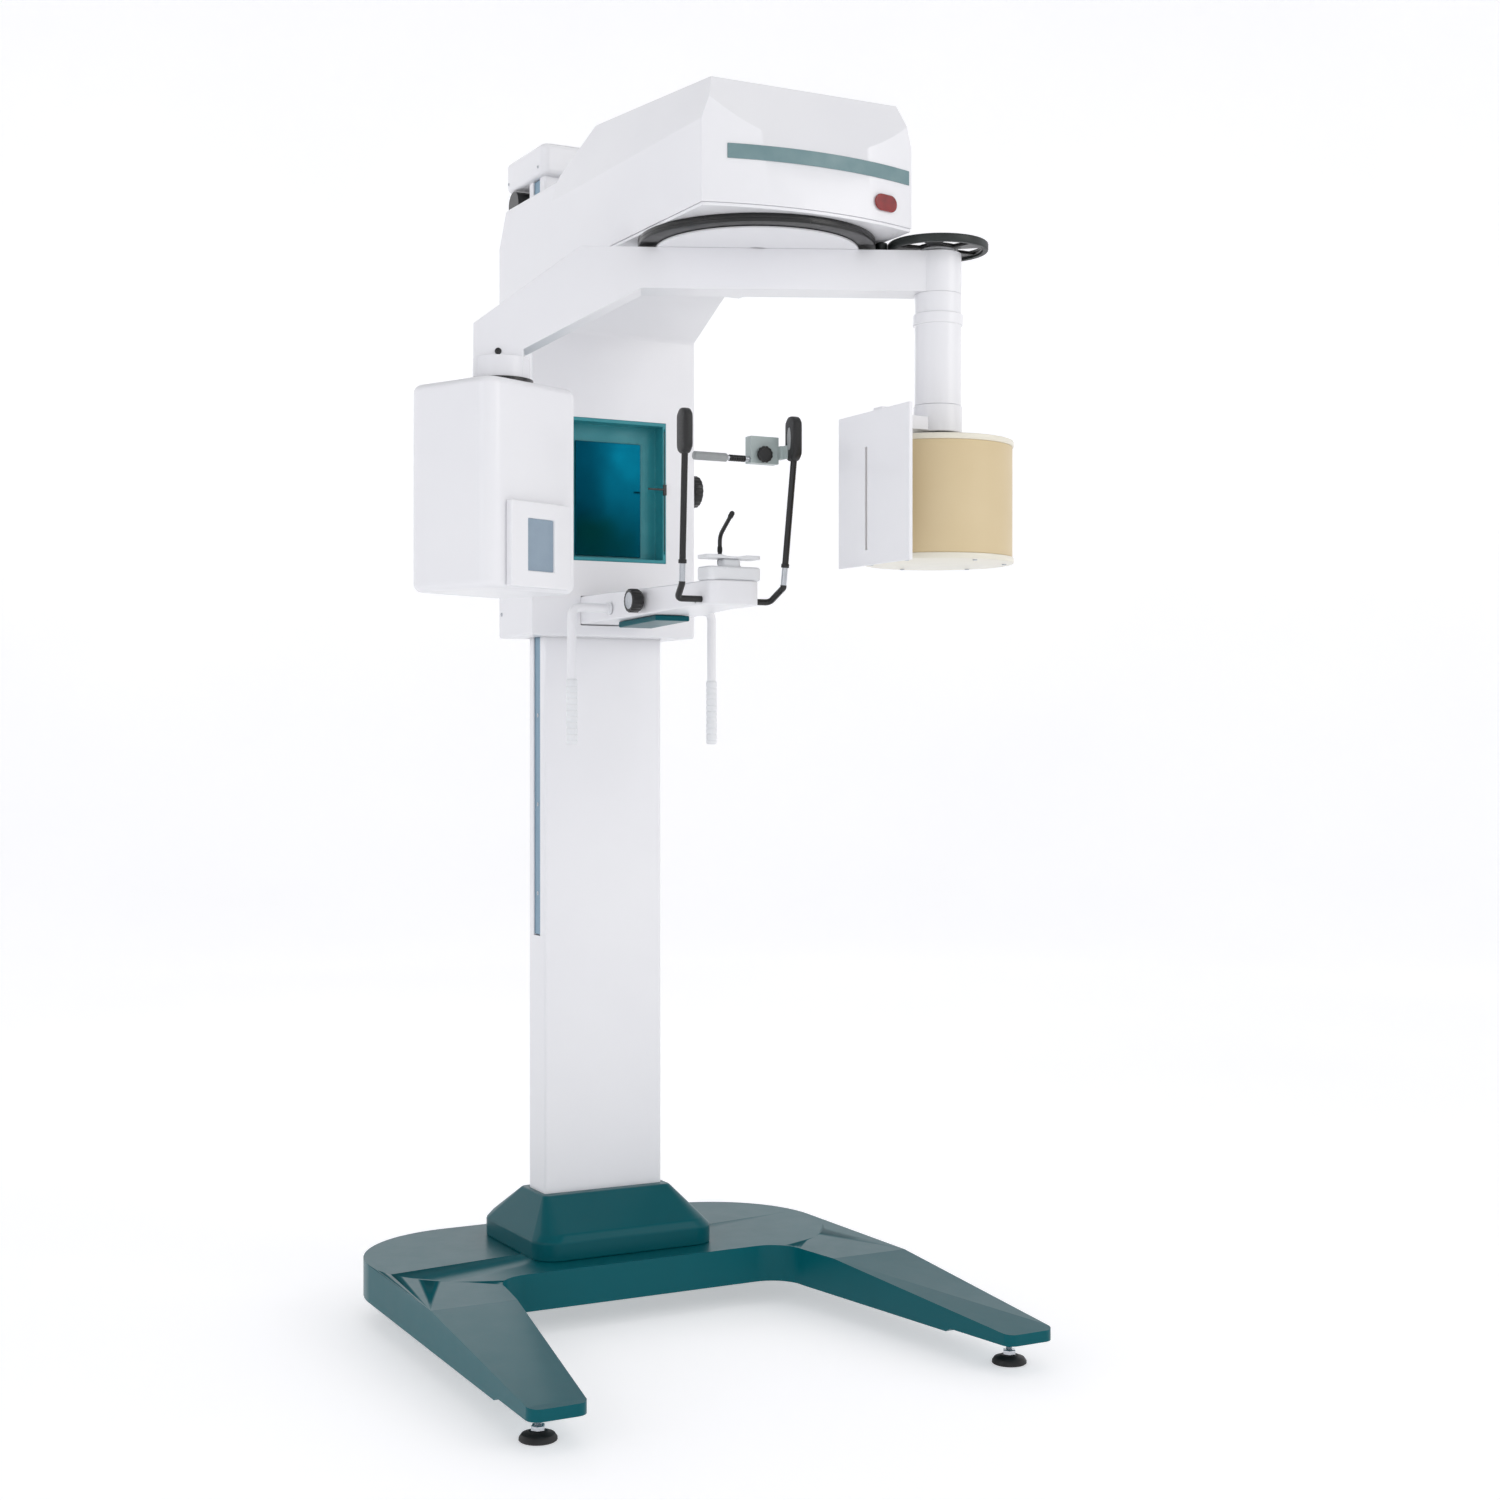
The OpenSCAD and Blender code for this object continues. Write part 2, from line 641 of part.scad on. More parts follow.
// ---------- rotating arm ----------
module arm_beam() {
    color(white) at_arm() difference() {
        union() {
            front_profile(-arm_w / 2, arm_w / 2, [[-tube_reach - 39, 1472.3], [-tube_reach - 39, 1550],
                [-258, beam_top], [drum_reach, beam_top], [drum_reach, beam_low], [-170, beam_low],
                [-341, 1513], [-341, 1472.3]]);
            translate([-tube_reach, 0, 0]) disc(42, 1472.3, 1503);
            translate([drum_reach, 0, 0]) disc(35, beam_low, beam_top);
        }
        translate([drum_reach, 0, 0]) disc(drum_shaft_r + fit, beam_low - cut, beam_top + cut);
        translate([ring_r + idler_r + gap, 0, 0]) disc(idler_pin_r + fit, beam_top - 8, beam_top + cut);
        translate([-tube_reach, 0, 0]) disc(20 + fit, 1470, 1500);
        front_profile(-arm_w / 2 + 5, arm_w / 2 - 5, [[-330, 1545], [-256, 1657], [220, 1657], [220, 1611],
            [-172, 1611]]);
        along_y(5 + fit, -arm_w / 2 - cut, -arm_w / 2 + 5 + cut, -tube_reach - 3, 1510);
    }
}
module arm_hub() {
    color(white) at_arm() difference() {
        union() {
            disc(150, beam_top, beam_top + 3.4);
            disc(boss_r, beam_top, head_z - 1);
            disc(45, head_z - 2, 1780);
            disc(gear_r, gear_z, gear_z + gear_t);
        }
        disc(30, beam_top - cut, 1781);
    }
}
module arm_end_screw() {
    color(black) at_arm() along_y(5, -arm_w / 2 - 2, -arm_w / 2 + 4, -tube_reach - 3, 1510);
}
module drive_idler() {
    color(black) at_arm() translate([ring_r + idler_r + gap, 0, 0]) {
        disc(idler_r, wheel_z, wheel_z + wheel_t);
        disc(idler_pin_r, beam_top - 6, wheel_z);
    }
}
module drive_wheel() {
    color("#1C2422") at_drum() difference() {
        disc(wheel_r, wheel_z, wheel_z + wheel_t);
        disc(wheel_r - 8, wheel_z + wheel_t - 3, wheel_z + wheel_t + cut);
        disc(drum_shaft_r, wheel_z - cut, wheel_z + wheel_t + cut);
    }
}
module carrier_tube() {
    color(white) at_drum() difference() {
        union() {
            disc(tube_r, sleeve_top + gap, beam_low);
            disc(tube_r + 2.5, 1558, 1574);
            disc(22, sleeve_z + 2, sleeve_top + 1);
        }
        disc(drum_shaft_r + fit, sleeve_z - cut, beam_low + cut);
    }
}
module carrier_sleeve() {
    color(white) at_carrier() difference() {
        disc(sleeve_r, sleeve_z, sleeve_top);
        disc(22 + fit, sleeve_z - cut, sleeve_top + cut);
    }
}
module slit_shield() {
    color(white) at_carrier() {
        difference() {
            block([-124, -117, 1200], [-118, 78, 1422]);
            block([-125, -slit_w / 2, 1222], [-117, slit_w / 2, 1372]);
        }
        difference() {
            block([-118, -22, 1400], [-30, 22, 1420]);
            disc(sleeve_r, 1390, 1430);
        }
        block([-104, -12, 1420], [-84, 12, 1431]);
    }
}
module drum_shaft() {
    color(steel) at_drum() disc(drum_shaft_r, drum_z + 12, wheel_z + wheel_t);
}
module film_drum() {
    color(cream) at_drum() difference() {
        union() {
            disc(drum_r, drum_z, drum_z + drum_h);
            for (z = [drum_z, drum_z + drum_h - 8]) disc(drum_r + 2, z, z + 8);
            disc(29, drum_z + drum_h, sleeve_z - 1);
        }
        difference() {
            disc(drum_r - drum_wall, drum_z + 6, drum_z + drum_h - 6);
            disc(18, drum_z, drum_z + drum_h);
        }
        disc(drum_shaft_r, drum_z + 12, sleeve_z + 10);
    }
}

// ---------- tube head ----------
tube_back = -15;
module tube_head_housing() {
    color(white) at_tube() difference() {
        translate([tube_back, 0, 0]) rounded_box(tube_d, tube_w, tube_z, tube_z + tube_h, 24);
        translate([tube_back, 0, 0])
            rounded_box(tube_d - 2 * wall, tube_w - 2 * wall, tube_z + wall, tube_z + tube_h - wall, 20);
        disc(12, tube_z + tube_h - 2 * wall, tube_z + tube_h + cut);
    }
}
module swivel_bearing() {
    color(steel) at_tube() difference() {
        union() {
            disc(bearing_r, tube_z + tube_h, 1472);
            disc(20, 1471, 1498);
        }
        disc(12, tube_z + tube_h - cut, 1499);
    }
}
tube_face = 84 - 15;
module collimator_block() {
    color(white) at_tube() difference() {
        block([tube_face, -62, tube_z + 4], [tube_face + 12, 62, 1288]);
        block([tube_face + 6, -27, 1189], [tube_face + 13, 27, 1264]);
    }
}
module collimator_window() {
    color("#8FA0AF") at_tube() block([tube_face + 6, -27, 1189], [tube_face + 9, 27, 1264]);
}
module xray_tube_insert() {
    color("#B7C4CC") at_tube() {
        translate([tube_back, 0, 1226]) rotate([90, 0, 0]) cylinder(r = 30, h = 150, center = true);
        translate([tube_back, 0, 1226]) rotate([90, 0, 0]) cylinder(r = 14, h = 180, center = true);
        block([tube_back - 20, -20, tube_z + wall], [tube_back + 20, 20, 1200]);
    }
}
module hv_transformer() {
    color("#8A6B3A") at_tube() {
        block([tube_back - 60, -70, 1280], [tube_back + 60, 70, 1400]);
        block([tube_back - 76, -20, 1290], [tube_back - 60, 20, 1390]);
        block([tube_back - 80, -20, 1290], [tube_back - 76, 20, 1390]);
    }
}

base_frame();
foot_front_left();
foot_front_right();
foot_rear_left();
foot_rear_right();
pedestal_cover();
column_shell();
side_rails();
rail_screws();
column_cap();
lift_motor();
lift_belt();
top_pulley();
bottom_pulley();
counterweight();
carriage_frame();
guide_shoes();
carriage_housing();
mirror_surround();
positioning_mirror();
plane_pointer();
side_knob();
head_hood();
hood_band();
exposure_lamp();
head_base_plate();
slewing_ring();
rotation_motor();
drive_pinion();
chin_arm();
chin_arm_cover();
chin_block();
chin_cup();
bite_rod();
temple_knob();
temple_arm_left();
temple_pad_left();
temple_arm_right();
temple_pad_right();
forehead_bracket();
forehead_bar();
forehead_pad();
forehead_knob();
hand_grips();
arm_beam();
arm_hub();
arm_end_screw();
drive_idler();
drive_wheel();
carrier_tube();
carrier_sleeve();
slit_shield();
drum_shaft();
film_drum();
tube_head_housing();
swivel_bearing();
collimator_block();
collimator_window();
xray_tube_insert();
hv_transformer();
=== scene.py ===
# %% [markdown]
# # A panoramic dental x-ray machine
# The machine is a steel base and column, a carriage that slides on the column, and a head whose arm turns
# round the patient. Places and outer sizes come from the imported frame, so the visible pieces fit the moving
# bodies. Only small details, such as a groove or a rim, have sizes of their own.

# %% Load the frame
import json
import math

import bmesh
import bpy
from mathutils import Matrix, Vector
from mathutils.bvhtree import BVHTree


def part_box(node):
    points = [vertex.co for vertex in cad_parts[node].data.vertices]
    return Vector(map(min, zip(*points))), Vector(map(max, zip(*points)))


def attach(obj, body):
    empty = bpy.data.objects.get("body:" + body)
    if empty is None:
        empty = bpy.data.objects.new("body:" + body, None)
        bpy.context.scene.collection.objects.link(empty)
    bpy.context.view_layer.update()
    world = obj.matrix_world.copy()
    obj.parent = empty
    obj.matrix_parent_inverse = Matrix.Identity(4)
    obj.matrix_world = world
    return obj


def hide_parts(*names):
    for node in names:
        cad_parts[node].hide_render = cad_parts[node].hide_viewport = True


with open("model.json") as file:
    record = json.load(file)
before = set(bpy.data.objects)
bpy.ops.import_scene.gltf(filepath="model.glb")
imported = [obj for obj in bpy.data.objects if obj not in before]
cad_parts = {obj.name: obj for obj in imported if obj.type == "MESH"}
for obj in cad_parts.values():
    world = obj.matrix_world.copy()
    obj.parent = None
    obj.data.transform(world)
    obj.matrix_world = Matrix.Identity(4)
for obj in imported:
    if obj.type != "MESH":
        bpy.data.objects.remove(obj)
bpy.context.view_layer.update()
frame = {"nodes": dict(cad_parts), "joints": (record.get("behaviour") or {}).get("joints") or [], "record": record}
MM = 0.001
nodes = frame["nodes"]
pivot = {j["name"]: Vector(j["pos_m"]) for j in frame["joints"] if "pos_m" in j}
body_of = {n: b for b, names in frame["record"]["behaviour"]["bodies"].items() for n in names}
slot_of = {s["node"]: s["material_slot"] for s in frame["record"]["subparts"]}
axis = pivot["arm_rotation"]
rails_low, rails_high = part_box("side_rails")
column = Vector((axis.x, (rails_low.y + rails_high.y) / 2, 0.0))

# %% [markdown]
# ## Camera
# A full-frame camera stands low, a little left of the patient's side, and looks at the column from about
# 3.7 m. A 52 mm lens keeps the verticals parallel, as in a catalogue picture.

# %% Camera
camera_data = bpy.data.cameras.new("catalogue_camera")
camera_data.lens = 51.9
camera_data.sensor_width = 36.0
camera = bpy.data.objects.new("catalogue_camera", camera_data)
bpy.context.scene.collection.objects.link(camera)
camera.location = column + Vector((-1.513, -3.382, 0.940))
camera.rotation_euler = (math.radians(89.85), 0.0, math.radians(-28.19))
bpy.context.scene.camera = camera
print("camera distance", round((camera.location - column).length, 2), "m")

# %% [markdown]
# ## Colours and nodes
# Paint charts give sRGB values, and shaders want linear ones, so one function turns hex codes to linear.
# One small function adds any shader node with its settings and links.

# %% Colour and node helpers
def linear(hex_code, alpha=1.0):
    """sRGB hex to linear RGBA."""
    parts = [int(hex_code[i:i + 2], 16) / 255 for i in (1, 3, 5)]
    return (*[c / 12.92 if c <= 0.04045 else ((c + 0.055) / 1.055) ** 2.4 for c in parts], alpha)


def add(material, kind, inputs=None, **settings):
    """Adds a node. A socket given as an input is linked, and anything else is set."""
    node = material.node_tree.nodes.new(kind)
    for name, value in settings.items():
        setattr(node, name, value)
    for key, value in (inputs or {}).items():
        if isinstance(value, bpy.types.NodeSocket):
            material.node_tree.links.new(value, node.inputs[key])
        else:
            node.inputs[key].default_value = value
    return node


def start(name, metallic=0.0, ior=None):
    """A new material with its shader, its object coordinates and a function that links to the shader."""
    material = bpy.data.materials.new(name)
    material.use_nodes = True
    shader = material.node_tree.nodes["Principled BSDF"]
    shader.inputs["Metallic"].default_value = metallic
    if ior:
        shader.inputs["IOR"].default_value = ior
    place = add(material, "ShaderNodeTexCoord").outputs["Object"]
    return material, shader, place


def feed(material, shader, **links):
    """Links outputs to the shader's sockets, which are named with underscores for spaces."""
    for name, value in links.items():
        material.node_tree.links.new(value, shader.inputs[name.replace("_", " ")])


# %% [markdown]
# ## Painted metal
# The covers are sheet steel with a baked powder coat. It is smooth, but its skin has a faint orange peel and
# its tone drifts a little from panel to panel. The true peel is about 1 mm, too fine to show here, so it is
# drawn several times coarser. The clear top of the enamel is the shader's coat.

# %% Enamel
def enamel(name, light, dark, rough, coat=0.0, drift_mm=260, peel_mm=7, peel_height_mm=0.03, shine=0.5):
    material, shader, place = start(name)
    drift = add(material, "ShaderNodeTexNoise", {"Vector": place, "Scale": 1 / (drift_mm * MM),
                                                 "Detail": 3.0})
    tone = add(material, "ShaderNodeMix", {0: drift.outputs["Fac"], 6: linear(light), 7: linear(dark)},
               data_type="RGBA")
    wear = add(material, "ShaderNodeTexNoise", {"Vector": place, "Scale": 1 / (45 * MM), "Detail": 5.0,
                                                "Roughness": 0.65})
    gloss = add(material, "ShaderNodeMapRange", {0: wear.outputs["Fac"], 1: 0.3, 2: 0.7, 3: rough * 0.94,
                                                 4: rough * 1.08})
    peel = add(material, "ShaderNodeTexNoise", {"Vector": place, "Scale": 1 / (peel_mm * MM), "Detail": 1.0})
    bump = add(material, "ShaderNodeBump", {"Height": peel.outputs["Fac"], "Strength": 0.6,
                                            "Distance": peel_height_mm * MM})
    feed(material, shader, Base_Color=tone.outputs[2], Roughness=gloss.outputs[0], Normal=bump.outputs[0])
    shader.inputs["Specular IOR Level"].default_value = shine
    shader.inputs["Coat Weight"].default_value = coat
    shader.inputs["Coat Roughness"].default_value = 0.06
    return material


white_enamel = enamel("white_powder_coat", "#EFEFF1", "#E6E6EA", rough=0.34, coat=0.25)
teal_enamel = enamel("petrol_teal_enamel", "#005A63", "#004F57", rough=0.3, coat=0.0, peel_height_mm=0.012,
                     shine=0.14)
cream_enamel = enamel("cream_enamel", "#D9C6A0", "#CFBA90", rough=0.42, coat=0.0, drift_mm=120,
                      peel_height_mm=0.01)
pale_enamel = enamel("ivory_enamel", "#E9E4D6", "#DFDAC9", rough=0.34, coat=0.2)
grey_enamel = enamel("pale_grey_enamel", "#AEBAB8", "#A2AEAD", rough=0.38, coat=0.2)
black_enamel = enamel("black_motor_enamel", "#17181A", "#0E0F10", rough=0.35, coat=0.3)

# %% [markdown]
# ## Moulded plastics and rubber
# Knobs, rods and rings are ABS or nylon, moulded with a fine spark-eroded grain. Rubber is duller, so it has
# a rougher surface and a deeper grain. The grain is drawn at 1.2 mm, coarser than it is, so that it shows.

# %% Plastics
def moulded(name, light, dark, rough, grain_mm=1.2, grain_height_mm=0.03, ior=1.5, coat=0.0):
    material, shader, place = start(name, ior=ior)
    cloud = add(material, "ShaderNodeTexNoise", {"Vector": place, "Scale": 1 / (30 * MM), "Detail": 4.0})
    tone = add(material, "ShaderNodeMix", {0: cloud.outputs["Fac"], 6: linear(light), 7: linear(dark)},
               data_type="RGBA")
    grain = add(material, "ShaderNodeTexVoronoi", {"Vector": place, "Scale": 1 / (grain_mm * MM)})
    gloss = add(material, "ShaderNodeMapRange", {0: cloud.outputs["Fac"], 1: 0.3, 2: 0.7, 3: rough * 0.8,
                                                 4: rough * 1.2})
    bump = add(material, "ShaderNodeBump", {"Height": grain.outputs["Distance"], "Strength": 0.5,
                                            "Distance": grain_height_mm * MM})
    feed(material, shader, Base_Color=tone.outputs[2], Roughness=gloss.outputs[0], Normal=bump.outputs[0])
    shader.inputs["Coat Weight"].default_value = coat
    shader.inputs["Coat Roughness"].default_value = 0.08
    return material


black_abs = moulded("black_abs", "#0C0D0E", "#060607", rough=0.34, coat=0.1)
black_rubber = moulded("black_rubber", "#131415", "#0A0B0B", rough=0.62, grain_mm=2.0, grain_height_mm=0.08,
                       ior=1.52)
green_rubber = moulded("drive_tyre_rubber", "#1A2321", "#0F1514", rough=0.5, grain_mm=2.0, ior=1.52)
teal_abs = moulded("teal_abs", "#2C8F98", "#237F89", rough=0.4)
band_film = moulded("satin_band_film", "#7C9699", "#5E7F84", rough=0.45, grain_mm=1.0)
white_abs = moulded("white_abs", "#E9EAEC", "#DFE1E4", rough=0.33, coat=0.25)
nylon = moulded("natural_nylon", "#DCDCD2", "#CDCDC0", rough=0.48, ior=1.53)
window_film = moulded("beam_window_film", "#95A6B5", "#8496A6", rough=0.42)
resin = moulded("cast_resin", "#8D6C3C", "#71552C", rough=0.5, ior=1.55)
silicone = moulded("grey_silicone", "#A7AAAA", "#8F9393", rough=0.55, ior=1.41)
belt_rubber = moulded("belt_rubber", "#191A1C", "#101113", rough=0.6, grain_mm=1.5)

# %% [markdown]
# ## Bare metals
# Ground and turned steel carries fine parallel marks, so the noise is stretched along the way the tool
# moved. A metal keeps the default IOR, and its colour is its reflection.

# %% Metals
def ground_metal(name, light, dark, rough, lay=(900.0, 900.0, 12.0), depth_mm=0.015):
    material, shader, place = start(name, metallic=1.0)
    along = add(material, "ShaderNodeMapping", {"Vector": place, "Scale": lay})
    marks = add(material, "ShaderNodeTexNoise", {"Vector": along.outputs[0], "Scale": 1.0, "Detail": 4.0})
    tone = add(material, "ShaderNodeMix", {0: marks.outputs["Fac"], 6: linear(light), 7: linear(dark)},
               data_type="RGBA")
    gloss = add(material, "ShaderNodeMapRange", {0: marks.outputs["Fac"], 1: 0.3, 2: 0.7, 3: rough * 0.75,
                                                 4: rough * 1.3})
    bump = add(material, "ShaderNodeBump", {"Height": marks.outputs["Fac"], "Strength": 0.4,
                                            "Distance": depth_mm * MM})
    feed(material, shader, Base_Color=tone.outputs[2], Roughness=gloss.outputs[0], Normal=bump.outputs[0])
    return material


turned_steel = ground_metal("turned_steel", "#C9CCD0", "#A3A8AE", rough=0.28)
blued_rail = ground_metal("blued_guide_steel", "#8FA9BA", "#6E8DA2", rough=0.34, lay=(1400.0, 1400.0, 6.0))
cast_iron = ground_metal("cast_iron", "#6A6C70", "#4C4E52", rough=0.6, lay=(220.0, 220.0, 220.0),
                         depth_mm=0.2)
bright_zinc = ground_metal("zinc_plate", "#D5D8DC", "#B4B8BE", rough=0.22, lay=(300.0, 300.0, 300.0))

# %% [markdown]
# ## Mirror, lamp lens and glass
# The positioning mirror is tinted glass, almost a metal to the eye. The lamp's lens is red acrylic: it lets
# some light in and glows at its thin edges. The tube insert is plain borosilicate glass.

# %% Mirror, lens, glass
def tinted_mirror():
    material, shader, place = start("tinted_mirror", metallic=1.0)
    haze = add(material, "ShaderNodeTexNoise", {"Vector": place, "Scale": 1 / (60 * MM), "Detail": 5.0})
    tone = add(material, "ShaderNodeMix", {0: haze.outputs["Fac"], 6: linear("#035468"),
                                           7: linear("#023F55")}, data_type="RGBA")
    gloss = add(material, "ShaderNodeMapRange", {0: haze.outputs["Fac"], 1: 0.3, 2: 0.7, 3: 0.08, 4: 0.2})
    feed(material, shader, Base_Color=tone.outputs[2], Roughness=gloss.outputs[0])
    return material


def acrylic(name, light, dark, through, rough=0.12):
    material, shader, place = start(name, ior=1.49)
    depth = add(material, "ShaderNodeTexNoise", {"Vector": place, "Scale": 1 / (9 * MM), "Detail": 2.0})
    tone = add(material, "ShaderNodeMix", {0: depth.outputs["Fac"], 6: linear(light), 7: linear(dark)},
               data_type="RGBA")
    feed(material, shader, Base_Color=tone.outputs[2])
    shader.inputs["Roughness"].default_value = rough
    shader.inputs["Transmission Weight"].default_value = through
    shader.inputs["Coat Weight"].default_value = 0.5
    return material


mirror_glass = tinted_mirror()
red_lens = acrylic("red_acrylic_lens", "#A30F0F", "#6B0505", through=0.15)
tube_glass = acrylic("borosilicate_glass", "#DDE6EA", "#C9D6DC", through=0.85, rough=0.04)

# %% [markdown]
# ## Vinyl over foam
# The pads are foam under thin vinyl with a pressed leather grain. Small cells with soft valleys make the
# grain, and a little sheen keeps it from looking like hard plastic.

# %% Vinyl
def vinyl(name, light, dark, cell_mm=1.6):
    material, shader, place = start(name, ior=1.52)
    cells = add(material, "ShaderNodeTexVoronoi", {"Vector": place, "Scale": 1 / (cell_mm * MM)},
                feature="SMOOTH_F1")
    cloud = add(material, "ShaderNodeTexNoise", {"Vector": place, "Scale": 1 / (18 * MM), "Detail": 4.0})
    tone = add(material, "ShaderNodeMix", {0: cloud.outputs["Fac"], 6: linear(light), 7: linear(dark)},
               data_type="RGBA")
    gloss = add(material, "ShaderNodeMapRange", {0: cells.outputs["Distance"], 1: 0.0, 2: 0.8, 3: 0.38,
                                                 4: 0.6})
    bump = add(material, "ShaderNodeBump", {"Height": cells.outputs["Distance"], "Strength": 0.7,
                                            "Distance": 0.15 * MM})
    feed(material, shader, Base_Color=tone.outputs[2], Roughness=gloss.outputs[0], Normal=bump.outputs[0])
    shader.inputs["Sheen Weight"].default_value = 0.15
    return material


black_vinyl = vinyl("black_vinyl", "#0E0F10", "#070708")
grey_vinyl = vinyl("grey_vinyl", "#A4A7A8", "#8E9293")

paint = {
    "white_enamel": white_enamel, "teal_enamel": teal_enamel, "black_plastic": black_abs,
    "foot_rubber": black_rubber, "rail_steel": blued_rail, "machined_steel": turned_steel,
    "cast_weight": cast_iron, "belt_rubber": belt_rubber, "slide_nylon": nylon, "surround_teal": teal_abs,
    "mirror_blue": mirror_glass, "band_grey": band_film, "lamp_red": red_lens, "chin_plastic": white_abs,
    "pad_vinyl": black_vinyl, "pad_grey": silicone, "bracket_grey": grey_enamel,
    "wheel_rubber": green_rubber, "drum_cream": cream_enamel, "window_grey": window_film,
    "insert_glass": tube_glass, "grip_white": white_abs, "winding_copper": resin,
    "motor_black": black_enamel,
}
for name, obj in nodes.items():
    obj.data.materials.clear()
    obj.data.materials.append(paint[slot_of[name]])
print("materials", len(bpy.data.materials))

# %% [markdown]
# ## Making pieces
# A sheet-metal or moulded cover never has a knife edge. The frame's solids have, so a visible cover is made
# from the outer skin of its solid: faces that look into the hollow are dropped, flat faces are merged, the
# edges are rolled with a bevel, and a solidify gives the skin its wall back.

# %% Piece helpers
def new_piece(name, mesh, body, material, replaces=()):
    """A finished mesh becomes a piece on a body."""
    piece = bpy.data.objects.new(name, mesh)
    bpy.context.scene.collection.objects.link(piece)
    mesh.materials.clear()
    mesh.materials.append(material)
    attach(piece, body)
    if replaces:
        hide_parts(*replaces)
    return piece


def smooth(piece, sharp_deg=None):
    """Smooth shading. Flat faces keep their look by weighted normals, or edges by an angle."""
    for face in piece.data.polygons:
        face.use_smooth = True
    if sharp_deg is None:
        weighted = piece.modifiers.new("flat_faces", "WEIGHTED_NORMAL")
        weighted.keep_sharp = True
    else:
        piece.data.set_sharp_from_angle(angle=math.radians(sharp_deg))
    return piece


def looks_inside(tree, face):
    """True if most rays that leave the face meet the same solid again."""
    side = face.normal.orthogonal().normalized()
    up = face.normal.cross(side)
    start = face.calc_center_median() + face.normal * 0.05 * MM
    rays = [face.normal] + [face.normal + 0.6 * d for d in (side, -side, up, -up)]
    hits = [tree.ray_cast(start, ray.normalized())[0] is not None for ray in rays]
    return hits[0] + sum(hits) >= 3


def rolled(node, edge_mm, wall_mm=None, segments=4, angle_deg=25):
    """A node's shape with rolled edges. With a wall, only the outer skin is kept and thickened inwards."""
    mesh = nodes[node].data.copy()
    form = bmesh.new()
    form.from_mesh(mesh)
    bmesh.ops.remove_doubles(form, verts=form.verts, dist=0.02 * MM)
    if wall_mm:
        tree = BVHTree.FromBMesh(form)
        inner = [f for f in form.faces if looks_inside(tree, f)]
        bmesh.ops.delete(form, geom=inner, context="FACES")
    bmesh.ops.dissolve_limit(form, angle_limit=math.radians(1.0), verts=form.verts, edges=form.edges)
    weight = form.edges.layers.float.new("bevel_weight_edge")
    for e in form.edges:
        angle = math.degrees(e.calc_face_angle(0.0)) if len(e.link_faces) == 2 else 0.0
        broad = angle > 1.5 and min(f.calc_area() for f in e.link_faces) > 4e-3
        e[weight] = 1.0 if angle > angle_deg or broad else 0.0
    form.to_mesh(mesh)
    form.free()
    piece = new_piece(node + "_skin", mesh, body_of[node], paint[slot_of[node]], [node])
    roll = piece.modifiers.new("rolled_edges", "BEVEL")
    roll.width = edge_mm * MM
    roll.segments = segments
    roll.limit_method = "WEIGHT"
    if wall_mm:
        wall = piece.modifiers.new("wall", "SOLIDIFY")
        wall.thickness = wall_mm * MM
        wall.offset = -1.0
    return smooth(piece)


def turned(name, profile_mm, centre, body, material, along=(0, 0, 1), replaces=(), steps=96,
           sharp_deg=35, flute=None):
    """A turned piece: (radius, height) points in mm round an axis through centre.

    flute is a count, a depth in mm and the radius from which the flutes are cut."""
    form = bmesh.new()
    turn = Vector((0, 0, 1)).rotation_difference(Vector(along)).to_matrix().to_4x4()
    rings = []
    for radius, height in profile_mm:
        if radius < 1e-6:
            rings.append([form.verts.new((0, 0, height * MM))])
            continue
        ring = []
        for i in range(steps):
            a = 2 * math.pi * i / steps
            r = radius
            if flute and radius > flute[2]:
                r -= flute[1] * 0.5 * (1 + math.cos(flute[0] * a))
            ring.append(form.verts.new((r * MM * math.cos(a), r * MM * math.sin(a), height * MM)))
        rings.append(ring)
    for low, high in zip(rings, rings[1:]):
        for i in range(steps):
            j = (i + 1) % steps
            corners = [low[i % len(low)], low[j % len(low)], high[j % len(high)], high[i % len(high)]]
            unique = list(dict.fromkeys(corners))
            if len(unique) > 2:
                form.faces.new(unique)
    form.transform(Matrix.Translation(centre) @ turn)
    bmesh.ops.recalc_face_normals(form, faces=form.faces)
    mesh = bpy.data.meshes.new(name)
    form.to_mesh(mesh)
    form.free()
    return smooth(new_piece(name, mesh, body, material, replaces), sharp_deg)


def rounded_profile(radius, low, high, edge, steps=5):
    """A closed turned outline for a disc or rod with rounded rims."""
    points = [(0, low)]
    for i in range(steps + 1):
        a = math.pi / 2 * i / steps
        points.append((radius - edge + edge * math.sin(a), low + edge - edge * math.cos(a)))
    for i in range(steps + 1):
        a = math.pi / 2 * i / steps
        points.append((radius - edge + edge * math.cos(a), high - edge + edge * math.sin(a)))
    return points + [(0, high)]


